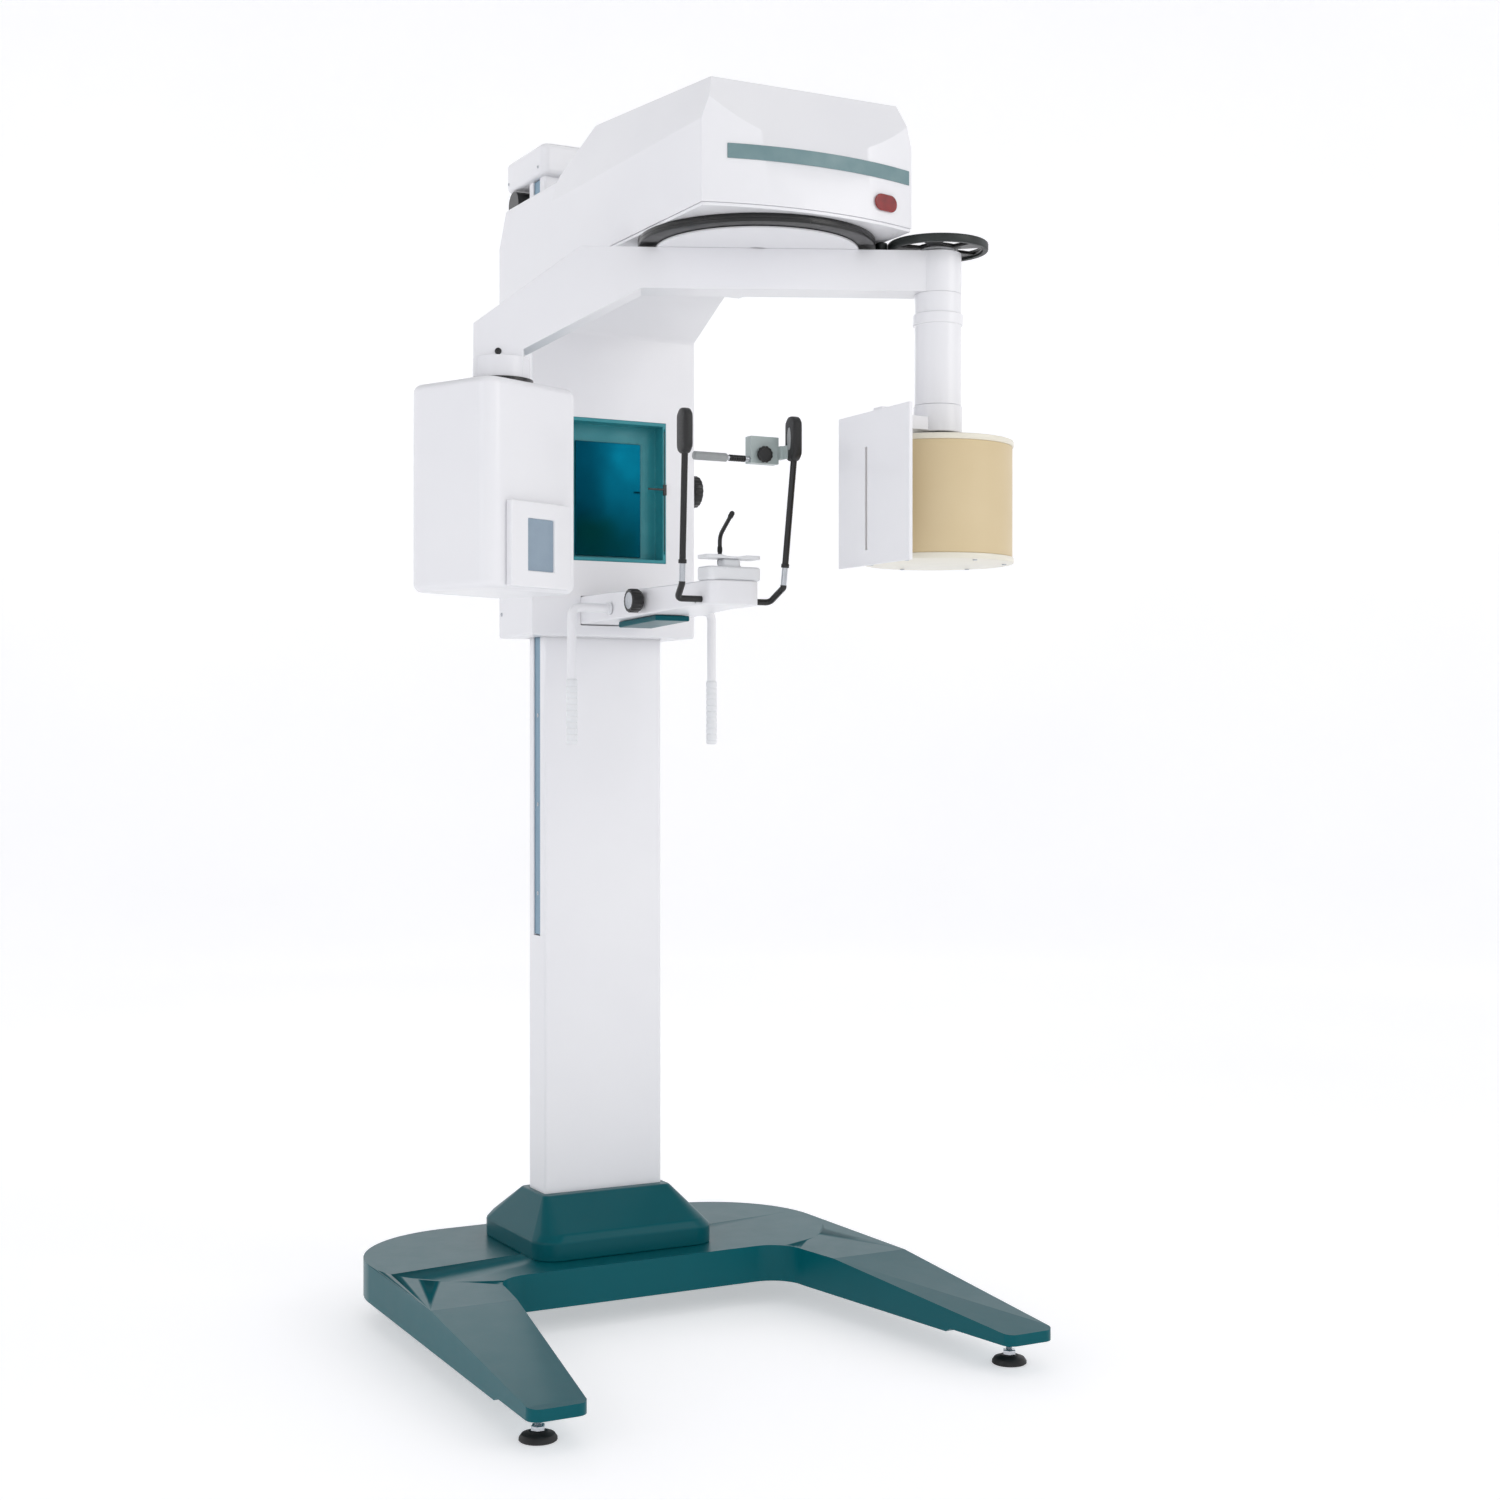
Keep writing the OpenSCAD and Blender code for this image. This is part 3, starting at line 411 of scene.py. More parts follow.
def bent_rod(name, points, radius_mm, body, material, bend_mm=14, replaces=(), round_steps=24):
    """A rod bent through points in metres: each corner becomes an arc, and both ends are capped."""
    path = [Vector(points[0])]
    for a, b, c in zip(points, points[1:], points[2:]):
        a, b, c = Vector(a), Vector(b), Vector(c)
        reach = min(bend_mm * MM, (b - a).length * 0.45, (c - b).length * 0.45)
        first, last = b + (a - b).normalized() * reach, b + (c - b).normalized() * reach
        for t in [k / 8 for k in range(9)]:
            path.append(first * (1 - t) ** 2 + 2 * b * t * (1 - t) + last * t ** 2)
    path.append(Vector(points[-1]))
    form = bmesh.new()
    rings, normal = [], None
    for i, p in enumerate(path):
        ahead = (path[min(i + 1, len(path) - 1)] - path[max(i - 1, 0)]).normalized()
        normal = normal - ahead * normal.dot(ahead) if normal else ahead.orthogonal()
        normal.normalize()
        side = ahead.cross(normal)
        ring = []
        for k in range(round_steps):
            a = 2 * math.pi * k / round_steps
            ring.append(form.verts.new(p + radius_mm * MM * (normal * math.cos(a) + side * math.sin(a))))
        rings.append(ring)
    for low, high in zip(rings, rings[1:]):
        for k in range(round_steps):
            j = (k + 1) % round_steps
            form.faces.new([low[k], low[j], high[j], high[k]])
    form.faces.new(rings[0][::-1])
    form.faces.new(rings[-1])
    bmesh.ops.recalc_face_normals(form, faces=form.faces)
    mesh = bpy.data.meshes.new(name)
    form.to_mesh(mesh)
    form.free()
    return smooth(new_piece(name, mesh, body, material, replaces), 40)


def middle(node):
    """The middle of a node's box."""
    low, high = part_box(node)
    return (low + high) / 2


# %% [markdown]
# ## Studio
# A pale round floor curves up into a wall, so there is no horizon line. The paper glows a little, as a lit
# backdrop does, and the sky above it fills the shadows. The key light is a large soft box at the front right,
# with weaker boxes at the left, above and behind.

# %% Studio
def studio_paper():
    material, shader, place = start("studio_paper")
    fleck = add(material, "ShaderNodeTexNoise", {"Vector": place, "Scale": 0.8, "Detail": 2.0})
    tone = add(material, "ShaderNodeMix", {0: fleck.outputs["Fac"], 6: linear("#DCDCDD"),
                                           7: linear("#D8D8DA")}, data_type="RGBA")
    feed(material, shader, Base_Color=tone.outputs[2])
    shader.inputs["Roughness"].default_value = 0.7
    feed(material, shader, Emission_Color=tone.outputs[2])
    shader.inputs["Emission Strength"].default_value = 0.65
    return material


def studio_bowl(flat=6.0, fillet=2.5, height=7.0, steps=128):
    """The floor, its rising edge and the wall, as one turned sheet."""
    profile = [(0.0, 0.0), (flat * 0.3, 0.0), (flat, 0.0)]
    profile += [(flat + fillet * math.sin(a), fillet * (1 - math.cos(a)))
                for a in [math.pi / 2 * k / 16 for k in range(1, 17)]]
    profile.append((flat + fillet, height))
    form = bmesh.new()
    angles = [2 * math.pi * k / steps for k in range(steps)]
    rings = [[form.verts.new((r * math.cos(a), r * math.sin(a), z)) for a in (angles if r else angles[:1])]
             for r, z in profile]
    for low, high in zip(rings, rings[1:]):
        for k in range(steps):
            j = (k + 1) % steps
            form.faces.new(list(dict.fromkeys([low[k % len(low)], low[j % len(low)], high[j], high[k]])))
    mesh = bpy.data.meshes.new("studio_bowl")
    form.to_mesh(mesh)
    form.free()
    for face in mesh.polygons:
        face.use_smooth = True
    mesh.materials.append(studio_paper())
    bowl = bpy.data.objects.new("studio_bowl", mesh)
    bpy.context.scene.collection.objects.link(bowl)
    bowl.location.z = -0.2 * MM
    return bowl


def softbox(name, place, target, size, watts, colour="#FFFFFF"):
    light = bpy.data.lights.new(name, "AREA")
    light.shape = "RECTANGLE"
    light.size, light.size_y = size
    light.energy = watts
    light.color = linear(colour)[:3]
    lamp = bpy.data.objects.new(name, light)
    bpy.context.scene.collection.objects.link(lamp)
    lamp.location = place
    lamp.rotation_euler = (Vector(target) - Vector(place)).to_track_quat("-Z", "Y").to_euler()
    return lamp


studio_bowl()
softbox("key_softbox", (2.6, -3.6, 3.0), (0.0, 0.0, 1.1), (2.2, 2.2), 29, "#FFFDF8")
softbox("fill_softbox", (-4.2, -1.4, 2.4), (0.0, 0.0, 1.0), (1.6, 2.6), 10, "#F6FAFF")
softbox("top_softbox", (0.2, -0.4, 4.6), (0.0, 0.0, 0.0), (3.0, 3.0), 18)
softbox("back_softbox", (0.8, 4.2, 2.8), (0.0, 0.2, 1.2), (2.4, 1.6), 11)
world = bpy.data.worlds.new("studio_sky")
world.use_nodes = True
world.node_tree.nodes["Background"].inputs["Color"].default_value = linear("#FAFBFC")
world.node_tree.nodes["Background"].inputs["Strength"].default_value = 0.36
bpy.context.scene.world = world
bpy.context.scene.view_settings.view_transform = "Standard"

# %% [markdown]
# ## Covers
# Each white and teal cover is rolled from its solid. Radii follow what a press brake or a moulding tool
# gives: small on the column, large on the head.

# %% Covers
rolled("base_frame", 9, segments=5)
rolled("pedestal_cover", 7, wall_mm=3, segments=5, angle_deg=18)
rolled("column_shell", 2)
rolled("column_cap", 9, wall_mm=3, segments=5)
rolled("carriage_housing", 8, wall_mm=3, segments=5)
rolled("mirror_surround", 1.5)
rolled("positioning_mirror", 0.8)
rolled("head_hood", 14, wall_mm=3, segments=6)
rolled("head_base_plate", 1)
rolled("hood_band", 0.6, segments=2)
rolled("chin_arm", 5, wall_mm=3)
rolled("chin_arm_cover", 2)
rolled("arm_beam", 6, wall_mm=3, segments=5)
rolled("slit_shield", 1.5)
rolled("tube_head_housing", 12, wall_mm=3, segments=6)
rolled("collimator_block", 2.5)
rolled("forehead_bracket", 2)
rolled("lift_motor", 1.5)
rolled("chin_block", 4)
rolled("chin_cup", 1.2)
print("covers rolled")

# %% [markdown]
# ## Base and feet
# The base is a welded steel frame in teal enamel. It stands on four levelling feet: a moulded rubber pad on
# a zinc-plated stud with a lock nut. The studs turn with the pads.

# %% Feet
def foot(node):
    low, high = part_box(node)
    centre = Vector(((low.x + high.x) / 2, (low.y + high.y) / 2, 0.0))
    pad_r = (high.x - low.x) / 2 / MM
    body = body_of[node]
    pad = [(0, 0), (pad_r - 1.5, 0), (pad_r, 1.2), (pad_r - 0.3, 4.5), (pad_r - 3.5, 9), (14.5, 11.5),
           (13, 13), (0, 13)]
    turned(node + "_pad", pad, centre, body, black_rubber, replaces=[node])
    nut = [(0, 13), (9.2, 13), (10.4, 14.2), (10.4, 20), (9.2, 21.2), (0, 21.2)]
    turned(node + "_lock_nut", nut, centre, body, bright_zinc, steps=6, sharp_deg=20)
    thread = [(0, 20)]
    for k in range(12):
        thread += [(4.4, 21 + 1.5 * k), (5.0, 21.75 + 1.5 * k)]
    turned(node + "_stud", thread + [(4.6, 39.5), (4.6, 58), (0, 58)], centre, body, bright_zinc,
           steps=32)


for name in ("foot_front_left", "foot_front_right", "foot_rear_left", "foot_rear_right"):
    foot(name)
print("feet at", [tuple(round(v, 3) for v in pivot[n]) for n in pivot if n.startswith("foot_front")])

# %% [markdown]
# ## Column: rails, screws and the lift
# The guide rails lie in a channel on each side and are held by countersunk screws. A node can hold many
# screws at once, so each loose island of its mesh gives the middle of one head.

# %% Rails and screws
rolled("side_rails", 0.6, segments=2)
rolled("lift_belt", 0.4, segments=2)
rolled("guide_shoes", 1.0)
rolled("carriage_frame", 1.5, segments=2)
rolled("counterweight", 4)


def countersunk_screws(node):
    """Slotted heads, one for every separate screw in the node."""
    form = bmesh.new()
    form.from_mesh(nodes[node].data)
    bmesh.ops.remove_doubles(form, verts=form.verts, dist=0.02 * MM)
    todo = set(form.verts)
    centres = []
    while todo:
        island, edge = set(), [todo.pop()]
        while edge:
            v = edge.pop()
            island.add(v)
            fresh = [e.other_vert(v) for e in v.link_edges if e.other_vert(v) in todo]
            todo.difference_update(fresh)
            edge += fresh
        points = [v.co for v in island]
        centres.append(sum(points, Vector()) / len(points))
    form.free()
    for i, centre in enumerate(centres):
        side = 1 if centre.x > axis.x else -1
        head = [(0, -0.3), (3.4, -0.3), (3.4, 0.05), (2.9, 0.3), (1.2, 0.3), (1.0, -0.2), (0, -0.2)]
        turned("rail_screw_%02d" % i, head, centre, body_of[node], turned_steel, along=(side, 0, 0),
               replaces=[node] if i == 0 else (), steps=28)
    return len(centres)


print("rail screws", countersunk_screws("rail_screws"))

# %% [markdown]
# ## Column: belt pulleys
# A flat belt needs a pulley with a flange at each side and a fine relief beside it, which a lathe cuts in one
# setting. So rim and axle are both turned.

# %% Pulleys
def pulley(node):
    low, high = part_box(node)
    centre = pivot[node + "_turn"]
    r = (high.z - low.z) / 2 / MM
    outline = [(0, -13), (r - 1, -13), (r, -12.4), (r, -11.9), (r - 0.4, -11.6), (r - 0.4, 11.6), (r, 11.9),
               (r, 12.4), (r - 1, 13), (0, 13)]
    turned(node + "_rim", outline, centre, body_of[node], turned_steel, along=(1, 0, 0),
           replaces=[node])
    half = ((low.x - centre.x) / MM, (high.x - centre.x) / MM)
    turned(node + "_axle", rounded_profile(5.9, half[0], half[1], 0.8), centre, body_of[node], turned_steel,
           along=(1, 0, 0), steps=48)


pulley("top_pulley")
pulley("bottom_pulley")

# %% [markdown]
# ## Head: slewing ring
# The slewing ring hangs under the head. It is a black ring with rolled rims and a fine groove round its
# middle, so its section is drawn once and turned.

# %% Slewing ring
def slewing_ring():
    low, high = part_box("slewing_ring")
    r = (high.x - low.x) / 2 / MM
    inner, t = 130.3, (high.z - low.z) / MM
    centre = Vector((axis.x, axis.y, low.z))
    outline = [(inner, 1), (inner + 1, 0), (r - 2.2, 0), (r - 0.8, 0.6), (r, 2), (r, 4.2), (r - 0.5, 4.8),
               (r - 0.5, 6.2), (r, 6.8), (r, t - 2), (r - 0.8, t - 0.6), (r - 2.2, t), (inner + 1, t),
               (inner, t - 1), (inner, 1)]
    turned("slewing_ring_race", outline, centre, "carriage", black_abs,
           replaces=["slewing_ring"], steps=160)
    return r


print("ring radius", round(slewing_ring(), 1), "mm")

# %% [markdown]
# ## Head: lamp and rotation motor
# The lamp is a red acrylic lens set in the hood's front, with softly rolled edges. The motor behind it turns
# the arm and keeps its plain can.

# %% Lamp lens and motor
rolled("exposure_lamp", 1.6, segments=4, angle_deg=30)
rolled("rotation_motor", 2)

# %% [markdown]
# ## Knobs
# Each knob is a fluted black rim, and the larger two hold a turned metal face plate, as on laboratory
# equipment. The flutes give grip. The shaft behind is plain steel.

# %% Knobs
def knob(node, joint, along, faced=True, flutes=18):
    """A fluted knob that fills its node's box along its axis."""
    low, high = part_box(node)
    way = Vector(along)
    centre = pivot[joint].copy()
    cross = [i for i in range(3) if abs(way[i]) < 0.5]
    r = max(high[i] - low[i] for i in cross) / 2 / MM
    for i in cross:
        centre[i] = (low[i] + high[i]) / 2
    main = 3 - sum(cross)
    ends = sorted((end[main] - centre[main]) / MM * way[main] for end in (low, high))
    top = ends[1]
    back = top - {"side_knob": 19.7, "temple_knob": 20.0, "forehead_knob": 9.5}[node]
    body = body_of[node]
    rim = [(0, back), (r * 0.8, back), (r * 0.86, back + 1.2), (r * 0.9, back + 3), (r - 0.6, back + 4),
           (r, back + 5), (r, top - 3), (r - 0.5, top - 1.3), (r - 1.8, top - 0.2), (r - 3.5, top),
           (r * 0.72, top), (r * 0.70, top - 0.8), (0, top - 0.8)]
    turned(node + "_rim", rim, centre, body, black_abs, along, [node],
           steps=flutes * 8, sharp_deg=50, flute=(flutes, 0.9, r - 2))
    if faced:
        face = [(0, top - 1.0), (r * 0.69, top - 1.0), (r * 0.69, top - 0.35), (r * 0.64, top - 0.1),
                (r * 0.2, top - 0.1), (r * 0.17, top - 0.5), (0, top - 0.5)]
        turned(node + "_face", face, centre, body, turned_steel, along)
    if ends[0] < back - 1:
        shaft_r = 3.9 if r > 15 else 2.9
        turned(node + "_shaft", rounded_profile(shaft_r, ends[0], back + 2, 0.4), centre, body, turned_steel,
               along, steps=40)
    return round(r, 1)


print("knob radii", knob("side_knob", "side_knob_turn", (1, 0, 0)),
      knob("temple_knob", "temple_knob_turn", (-1, 0, 0)),
      knob("forehead_knob", "forehead_knob_turn", (0, -1, 0), faced=False, flutes=12))

# %% [markdown]
# ## Rotating arm: hub and end screw
# The arm hangs from a hub in the slewing ring. A black socket screw closes its left end. Its place and way
# come from the arm's own direction, so they stay right if the arm is redrawn.

# %% Hub and end screw
rolled("arm_hub", 0.8, segments=2)


def along_arm(x, y, z):
    """A place given in the arm's own directions, from the rotation axis."""
    swing = math.atan2(pivot["film_drum_turn"].y - axis.y, pivot["film_drum_turn"].x - axis.x)
    return Vector((axis.x, axis.y, 0)) + Matrix.Rotation(swing, 3, "Z") @ Vector((x, y, z))


out_of_arm = along_arm(0, -1, 0) - along_arm(0, 0, 0)
screw_at = middle("arm_end_screw")
cap_screw = [(0, -3), (4.9, -3), (4.9, 1.2), (4.4, 2.4), (2.6, 2.8), (2.4, 0.8), (0, 0.8)]
turned("arm_end_screw_head", cap_screw, screw_at, "arm", black_enamel, out_of_arm,
       ["arm_end_screw"], steps=40)

# %% [markdown]
# ## Rotating arm: drive wheel
# A friction tyre on the drive wheel runs off the ring through a small idler and turns the film drum below.
# The wheel has a rubber tyre, a dished disc with five openings and a pale hub. The disc is drawn as rings of
# faces with gaps, and a solidify gives it thickness.

# %% Drive wheel
def drive_wheel():
    low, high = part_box("drive_wheel")
    centre = Vector((pivot["film_drum_turn"].x, pivot["film_drum_turn"].y, low.z))
    r, t = (high.x - low.x) / 2 / MM, (high.z - low.z) / MM
    tyre = [(r - 8, 0.6), (r - 7, 0), (r - 1.6, 0), (r - 0.4, 1), (r, 2.4), (r, t - 2.4), (r - 0.4, t - 1),
            (r - 1.6, t), (r - 7, t), (r - 8, t - 0.6), (r - 8, 0.6)]
    turned("drive_wheel_tyre", tyre, centre, "drum", green_rubber,
           replaces=["drive_wheel"], steps=160)
    web = bmesh.new()
    count, steps = 5, 120
    for level, flip in ((t - 4.2, False), (3.0, True)):
        rings = []
        for radius in (r - 8, r - 11, 30, 24):
            rings.append([web.verts.new((radius * MM * math.cos(2 * math.pi * k / steps),
                                         radius * MM * math.sin(2 * math.pi * k / steps), level * MM))
                          for k in range(steps)])
        for a, (outer, inner) in enumerate(zip(rings, rings[1:])):
            for k in range(steps):
                if a == 1 and (k * count % steps) / steps * 2 > 0.75:
                    continue
                j = (k + 1) % steps
                web.faces.new([outer[k], outer[j], inner[j], inner[k]][::-1 if flip else 1])
    web.transform(Matrix.Translation(centre))
    mesh = bpy.data.meshes.new("drive_wheel_web")
    web.to_mesh(mesh)
    web.free()
    piece = new_piece("drive_wheel_web", mesh, "drum", black_abs)
    wall = piece.modifiers.new("wall", "SOLIDIFY")
    wall.thickness = 1.6 * MM
    smooth(piece, 40)
    hub = [(8.6, 0.5), (24, 0.5), (25, 1.5), (25, t - 3.5), (23.5, t - 2), (15, t - 1.2), (13, t), (8.6, t),
           (8.6, 0.5)]
    turned("drive_wheel_hub", hub, centre, "drum", white_abs)
    return round(r, 1)


print("drive wheel radius", drive_wheel(), "mm")

# %% [markdown]
# ## Rotating arm: idler, tube and sleeve
# The idler is a small rubber roller on a steel pin. The tube and its sleeve are turned parts, so only their
# rims are rolled.

# %% Idler, tube and sleeve
def idler():
    low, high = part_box("drive_idler")
    centre = Vector((pivot["drive_idler_turn"].x, pivot["drive_idler_turn"].y, 0.0))
    r = (high.x - low.x) / 2 / MM
    top = high.z / MM
    tyre = [(0, top - 12), (r - 1, top - 12), (r, top - 11), (r, top - 1), (r - 1, top), (4, top),
            (3.4, top - 1), (0, top - 1)]
    turned("drive_idler_tyre", tyre, centre, "drive_idler", green_rubber,
           replaces=["drive_idler"], steps=72)
    turned("drive_idler_pin", rounded_profile(2.9, low.z / MM, top - 11, 0.4), centre, "drive_idler",
           turned_steel, steps=36)


idler()
rolled("carrier_tube", 1.2, angle_deg=35)
rolled("carrier_sleeve", 1.5, angle_deg=35)
rolled("drum_shaft", 0.8, angle_deg=35)

# %% [markdown]
# ## Film drum
# The film wraps a spun shell in cream enamel. Two pale rims hold it. The neck up to the sleeve above is a black
# band, painted shade for the shadow line in that gap. A shell like this would be spun or rolled, so it is turned
# here with beads at both rims.

# %% Film drum
def film_drum():
    low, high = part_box("film_drum")
    centre = Vector((pivot["film_drum_turn"].x, pivot["film_drum_turn"].y, low.z))
    rim_r = (high.x - low.x) / 2 / MM
    shell_h = 180.0
    shell_r = rim_r - 2
    shell = [(shell_r - 0.6, 9), (shell_r, 9.6), (shell_r, shell_h - 9.6), (shell_r - 0.6, shell_h - 9)]
    turned("film_drum_shell", shell, centre, "drum", cream_enamel, replaces=["film_drum"],
           steps=160)
    for name, z0, z1 in (("lower", 0, 9), ("upper", shell_h - 9, shell_h)):
        cover = z1 if name == "upper" else z0
        far = z0 if name == "upper" else z1
        step = 1 if name == "upper" else -1
        outline = [(0, cover), (rim_r - 2.2, cover), (rim_r - 0.6, cover - 0.6 * step),
                   (rim_r, cover - 2.0 * step), (rim_r, far + 2.0 * step), (rim_r - 0.6, far + 0.6 * step),
                   (rim_r - 2.2, far), (shell_r - 3, far)]
        turned("film_drum_rim_" + name, outline, centre, "drum", pale_enamel, steps=160)
    neck_top = (high.z - low.z) / MM
    # The black neck is painted shade: it stands in for the shadow line between the drum and the sleeve above.
    neck_shade_outline = [(0, shell_h - 1), (29, shell_h - 1), (29, shell_h + 3), (28.2, shell_h + 4),
              (28.2, neck_top - 1), (27.4, neck_top), (0, neck_top)]
    turned("film_drum_gasket", neck_shade_outline, centre, "drum", black_rubber, steps=96)
    for k in range(6):
        a = math.pi * (2 * k + 1) / 6
        spot = centre + Vector((math.cos(a), math.sin(a), 0)) * (rim_r - 14) * MM
        head = [(0, 0.2), (3.6, 0.2), (3.6, -0.6), (3.0, -1.4), (1.2, -1.4), (1.0, -0.9), (0, -0.9)]
        turned("film_drum_screw_%d" % k, head, spot, "drum", turned_steel, steps=28)
    return round(shell_r, 1), round(neck_top, 1)


print("drum shell radius and height", film_drum())

# %% [markdown]
# ## Tube head
# A moulded cover stands over the tube insert and the transformer. A collimator cover with the beam window is
# fixed to its front. The insert and the transformer are plain blocks, as nobody sees them.

# %% Tube head details
rolled("swivel_bearing", 1.2, angle_deg=35)
rolled("collimator_window", 0.4, segments=2)
rolled("hv_transformer", 4)
rolled("xray_tube_insert", 2, angle_deg=35)
rolled("drive_pinion", 0.8, angle_deg=35)

# %% [markdown]
# ## Head positioner: temple rods
# The temple rods are bent steel rod. Their upper part carries a black sleeve, the lower part is bare, and the
# foot that enters the chin arm is black again.

# %% Temple rods
rod_shaft_z = 1.158
rod_knee_z = 1.178


def temple_rod(side, node):
    low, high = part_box(node)
    body = body_of[node]
    r = 4.9
    way = -1 if side == "left" else 1
    outer = axis.x + way * 84 * MM
    inner = low.x if way > 0 else high.x
    foot_y = shaft_y[node]
    knee = Vector((axis.x + way * 86 * MM, column.y - 506 * MM, rod_knee_z))
    lean = (Vector((axis.x + way * 92 * MM, column.y - 527 * MM, high.z)) - knee).normalized()
    top = knee + lean * ((high.z - knee.z) / lean.z + 9 * MM)
    bare_from = knee.lerp(top, 0.02)
    bare_to = knee.lerp(top, 0.17)
    shaft = [Vector((inner, foot_y, rod_shaft_z)), Vector((outer, foot_y, rod_shaft_z))]
    hook = shaft + [knee, bare_from]
    bent_rod(node + "_hook", hook, r, body, black_abs, 9, [node])
    bent_rod(node + "_bare", [bare_from, bare_to], r - 0.5, body, turned_steel)
    bent_rod(node + "_sleeve", [bare_to, top], r, body, black_abs)
    ring = [(0, -3), (r + 0.9, -3), (r + 1.3, -2.4), (r + 1.3, 2.4), (r + 0.9, 3), (0, 3)]
    turned(node + "_collar", ring, bare_to, body, black_abs, (top - knee).normalized(),
           steps=40)
    return top


shaft_y = {}
for node in ("temple_arm_left", "temple_arm_right"):
    mesh = nodes[node].data
    shaft_ys = [v.co.y for v in mesh.vertices if abs(v.co.x - axis.x) < 30 * MM]
    shaft_y[node] = (min(shaft_ys) + max(shaft_ys)) / 2
tops = {side: temple_rod(side, "temple_arm_" + side) for side in ("left", "right")}
print("temple rods", {k: [round(v, 3) for v in top] for k, top in tops.items()})

# %% [markdown]
# ## Head positioner: bite rod and hand grips
# The bite rod is thin and black, with two thicker rubber grips near its base and a soft tip. Each hand grip
# is a white rod bent down at the elbow, with a ribbed sleeve at the end that a hand closes round.

# %% Bite rod, hand grips and forehead bar
def bite_rod():
    low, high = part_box("bite_rod")
    x = (low.x + high.x) / 2
    y = high.y - 4 * MM
    base, bend = Vector((x, y, low.z)), Vector((x, y, 1.257))
    tip = Vector((x, bend.y - 42 * MM, high.z - 3 * MM))
    bent_rod("bite_rod_stem", [base, bend, tip], 3.2, "bite_rod", black_abs, 10,
             ["bite_rod"])
    for name, z in (("lower", 1.217), ("upper", 1.236)):
        blob = [(0, -7)] + [(3.95 * math.cos(a) ** 0.5, 7 * math.sin(a)) for a in
                            [math.radians(d) for d in range(-80, 81, 16)]] + [(0, 7)]
        turned("bite_rod_grip_" + name, blob, Vector((x, y, z)), "bite_rod", black_rubber,
               steps=40)
    along = (tip - bend).normalized()
    turned("bite_rod_tip", rounded_profile(4.0, -10, 1, 2), tip - along * 1.5 * MM, "bite_rod", black_rubber,
           along, steps=40)


def grip_sleeve(side):
    low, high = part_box("hand_grips")
    root_z = 1.160
    way = -1 if side == "left" else 1
    x = axis.x + way * 126 * MM
    y = (low.y + high.y) / 2
    root = axis.x + way * 58.4 * MM
    elbow = Vector((x, y, root_z))
    bent_rod("hand_grip_rod_" + side, [(root, y, root_z), elbow, (x, y, 1.0)], 7.3, "carriage", white_enamel,
             16, ["hand_grips"] if side == "left" else ())
    outline = [(0, 940), (6, 940), (8.2, 941.2), (9.0, 943.5)]
    for k in range(10):
        z = 946 + 9.6 * k
        outline += [(9.0, z), (8.35, z + 0.9), (8.35, z + 2.2), (9.0, z + 3.1)]
    outline += [(9.0, 1042), (8.4, 1044.2), (7.5, 1045), (0, 1045)]
    turned("hand_grip_sleeve_" + side, outline, Vector((x, y, 0)), "carriage", white_abs,
           steps=56)
    collar = rounded_profile(10.5, 0, 5, 1.5)
    turned("hand_grip_collar_" + side, collar, Vector((root, y, root_z)), "carriage", white_abs, (way, 0, 0),
           steps=56)


bite_rod()
grip_sleeve("left")
grip_sleeve("right")
rolled("forehead_bar", 0.8, angle_deg=35)
rolled("plane_pointer", 0.6, segments=2)

# %% [markdown]
# ## Pads
# A temple pad is foam under stretched vinyl, so its sides are full and its edges soft. It is made by blowing up a
# shrunken copy with cloth pressure. A harder oval puck of grey vinyl sits in each face. Its pale grey is partly
# painted highlight, standing in for the glare line on the vinyl.

# %% Pads
def full_pad(node, material, shrink=0.93, voxel_mm=2.5, pressure=4.0, most_mm=1.5):
    """A node's shape as a stuffed pad: shrunk, remeshed, inflated as cloth and then smoothed."""
    scene = bpy.context.scene
    mesh = nodes[node].data.copy()
    piece = new_piece(node + "_stuffed", mesh, body_of[node], material, [node])
    low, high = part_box(node)
    centre = (low + high) / 2
    for v in mesh.vertices:
        v.co = centre + (v.co - centre) * shrink
    remesh = piece.modifiers.new("even_cells", "REMESH")
    remesh.mode = "VOXEL"
    remesh.voxel_size = voxel_mm * MM
    bake(piece)
    start_at = [v.co.copy() for v in piece.data.vertices]
    cloth = piece.modifiers.new("vinyl_cover", "CLOTH")
    cloth.settings.quality = 6
    cloth.settings.mass = 0.25
    cloth.settings.tension_stiffness = 40
    cloth.settings.use_pressure = True
    cloth.settings.uniform_pressure_force = pressure
    cloth.settings.effector_weights.gravity = 0.0
    cloth.collision_settings.use_collision = False
    scene.frame_start, scene.frame_end = 1, 20
    for frame_no in range(1, 21):
        scene.frame_set(frame_no)
    bake(piece)
    scene.frame_set(1)
    for v, was in zip(piece.data.vertices, start_at):
        step = v.co - was
        if step.length > most_mm * MM:
            v.co = was + step.normalized() * most_mm * MM
    soften = piece.modifiers.new("soften", "SMOOTH")
    soften.iterations = 4
    fine = piece.modifiers.new("fine", "SUBSURF")
    fine.levels = fine.render_levels = 1
    for face in piece.data.polygons:
        face.use_smooth = True
    return piece


def bake(piece):
    """Applies a piece's modifiers to its mesh."""
    shown = piece.evaluated_get(bpy.context.evaluated_depsgraph_get())
    mesh = bpy.data.meshes.new_from_object(shown)
    piece.modifiers.clear()
    old = piece.data
    piece.data = mesh
    bpy.data.meshes.remove(old)


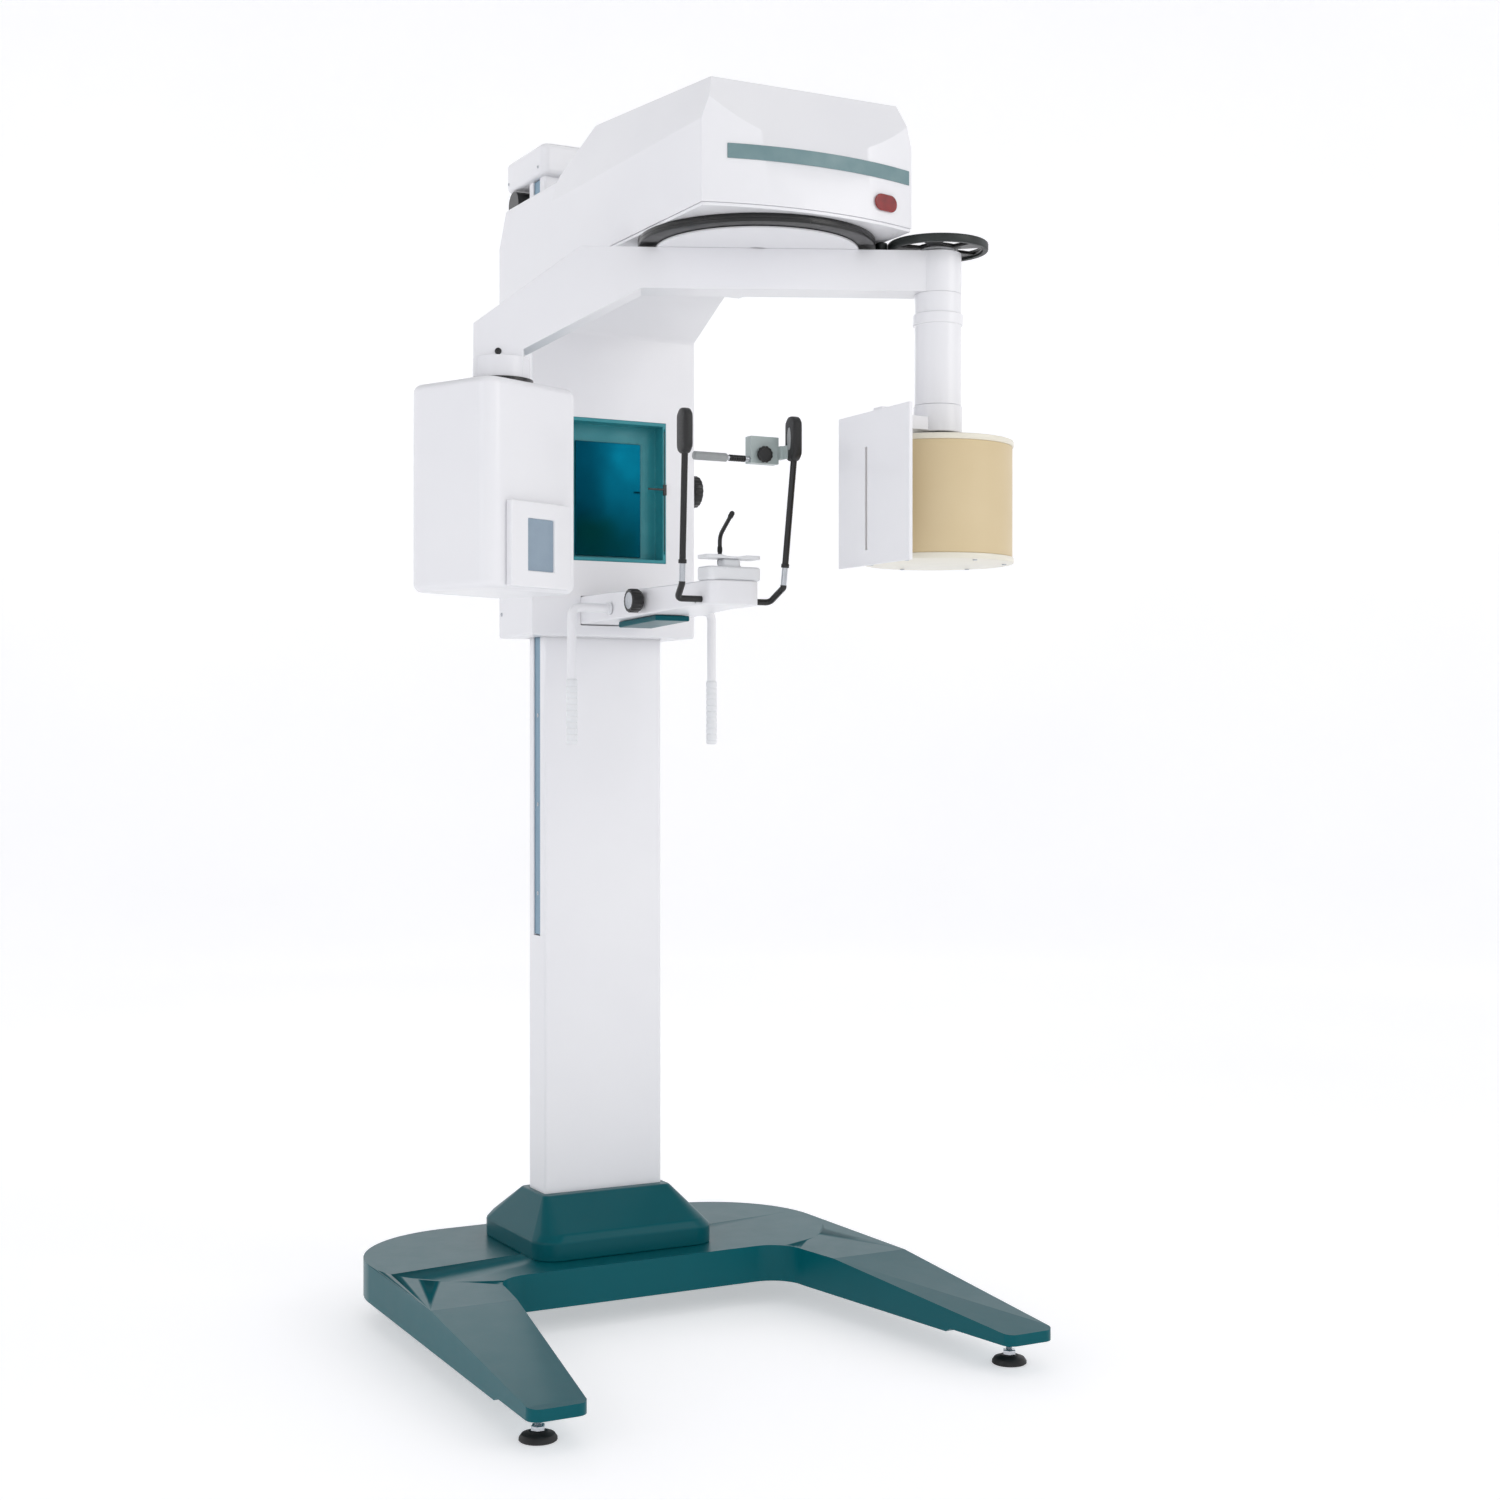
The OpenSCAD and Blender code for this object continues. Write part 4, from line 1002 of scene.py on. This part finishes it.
def oval_puck(name, centre, along, body, half_long_mm, half_wide_mm, thick_mm, material):
    """A domed oval plate whose long way is up."""
    outline = [(0, 0), (0.9, 0), (0.97, 0.25), (1.0, 0.55), (0.96, 0.8), (0.8, 0.93), (0.5, 1.0), (0, 1.02)]
    profile = [(half_wide_mm * r, thick_mm * h) for r, h in outline]
    piece = turned(name, profile, Vector((0, 0, 0)), body, material, along, steps=72)
    stretch = Matrix.Diagonal((1, 1, half_long_mm / half_wide_mm, 1))
    piece.data.transform(Matrix.Translation(centre) @ stretch)
    return piece


for side, way in (("left", -1), ("right", 1)):
    node = "temple_pad_" + side
    full_pad(node, black_vinyl)
    low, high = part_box(node)
    mid = (low + high) / 2
    # Each grey puck is a vinyl insert, and its pale grey is also painted highlight for the glare line on the pad's
    # face.
    for face, sign in (("inner", -way), ("outer", way)):
        at = mid + Vector((sign * 5.6 * MM, 0, 0))
        oval_puck(node + "_puck_" + face, at, (sign, 0, 0), body_of[node], 21, 8.5, 2.6, grey_vinyl)
full_pad("forehead_pad", grey_vinyl, shrink=0.95, voxel_mm=1.6, most_mm=0.6)
pad_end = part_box("forehead_pad")[1].x
bar_mid = middle("forehead_bar")
sleeve = []
for k in range(7):
    x = (pad_end - bar_mid.x) / MM + 1.5 + 4.0 * k
    sleeve += [(4.3, x), (5.0, x + 0.5), (5.0, x + 2.8), (4.3, x + 3.3)]
turned("forehead_bar_sleeve", sleeve, bar_mid, "forehead", black_abs, (1, 0, 0), steps=40)

# %% [markdown]
# ## Small details
# A black strip in the pointer's slot is painted shade: it darkens the narrow slot where shadow falls. A few cover
# screws break up the large covers, as on the real machine. Each is a thin piece that lies on its cover and moves
# with it.

# %% Slot shade strip and cover screws
def strip(name, low, high, body, material, edge_mm=0.3):
    """A thin straight strip with rolled edges between two corners in metres."""
    form = bmesh.new()
    bmesh.ops.create_cube(form, size=1.0)
    low, high = Vector(low), Vector(high)
    size = high - low
    form.transform(Matrix.Translation((low + high) / 2) @ Matrix.Diagonal((*size, 1)))
    bmesh.ops.bevel(form, geom=form.edges, offset=edge_mm * MM, segments=2, affect="EDGES", profile=0.5)
    mesh = bpy.data.meshes.new(name)
    form.to_mesh(mesh)
    form.free()
    return smooth(new_piece(name, mesh, body, material))


surround_low, surround_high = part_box("mirror_surround")
pointer_low, pointer_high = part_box("plane_pointer")
joints = frame["record"]["behaviour"]["joints"]
down, up = next(j["range_m"] for j in joints if j["name"] == "plane_pointer_slide")
# The black strip down the pointer's slot is painted shade, standing in for the shadow inside the slot.
slot_x = surround_high.x - 3 * MM
strip("pointer_slot_liner",
      (slot_x - 0.9 * MM, surround_low.y + 0.6 * MM, pointer_low.z + down),
      (slot_x + 0.9 * MM, surround_low.y + 2.8 * MM, pointer_high.z + up),
      "carriage", black_abs, edge_mm=0.2)


def cover_screw(name, place, along, body, r=3.4):
    head = [(0, -0.4), (r, -0.4), (r, 0.7), (r - 0.6, 1.3), (r * 0.45, 1.5), (r * 0.4, 0.7), (0, 0.7)]
    return turned(name, head, place, body, turned_steel, along, steps=28)


house_low, house_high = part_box("carriage_housing")
for k, (x, z) in enumerate(((-1, 1.16), (-1, 1.52), (1, 1.16), (1, 1.52))):
    side = house_low.x if x < 0 else house_high.x
    place = Vector((side - x * 0.2 * MM, house_high.y - 14 * MM, z))
    cover_screw("housing_screw_%d" % k, place, (x, 0, 0), "carriage")
cap_low, cap_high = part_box("column_cap")
for k, (x, y) in enumerate(((-1, -0.03), (-1, 0.1), (1, -0.03), (1, 0.1))):
    side = cap_low.x if x < 0 else cap_high.x
    place = Vector((side - x * 0.2 * MM, column.y + y, cap_low.z + 14 * MM))
    cover_screw("cap_screw_%d" % k, place, (x, 0, 0), "base", 2.6)

bpy.context.view_layer.update()
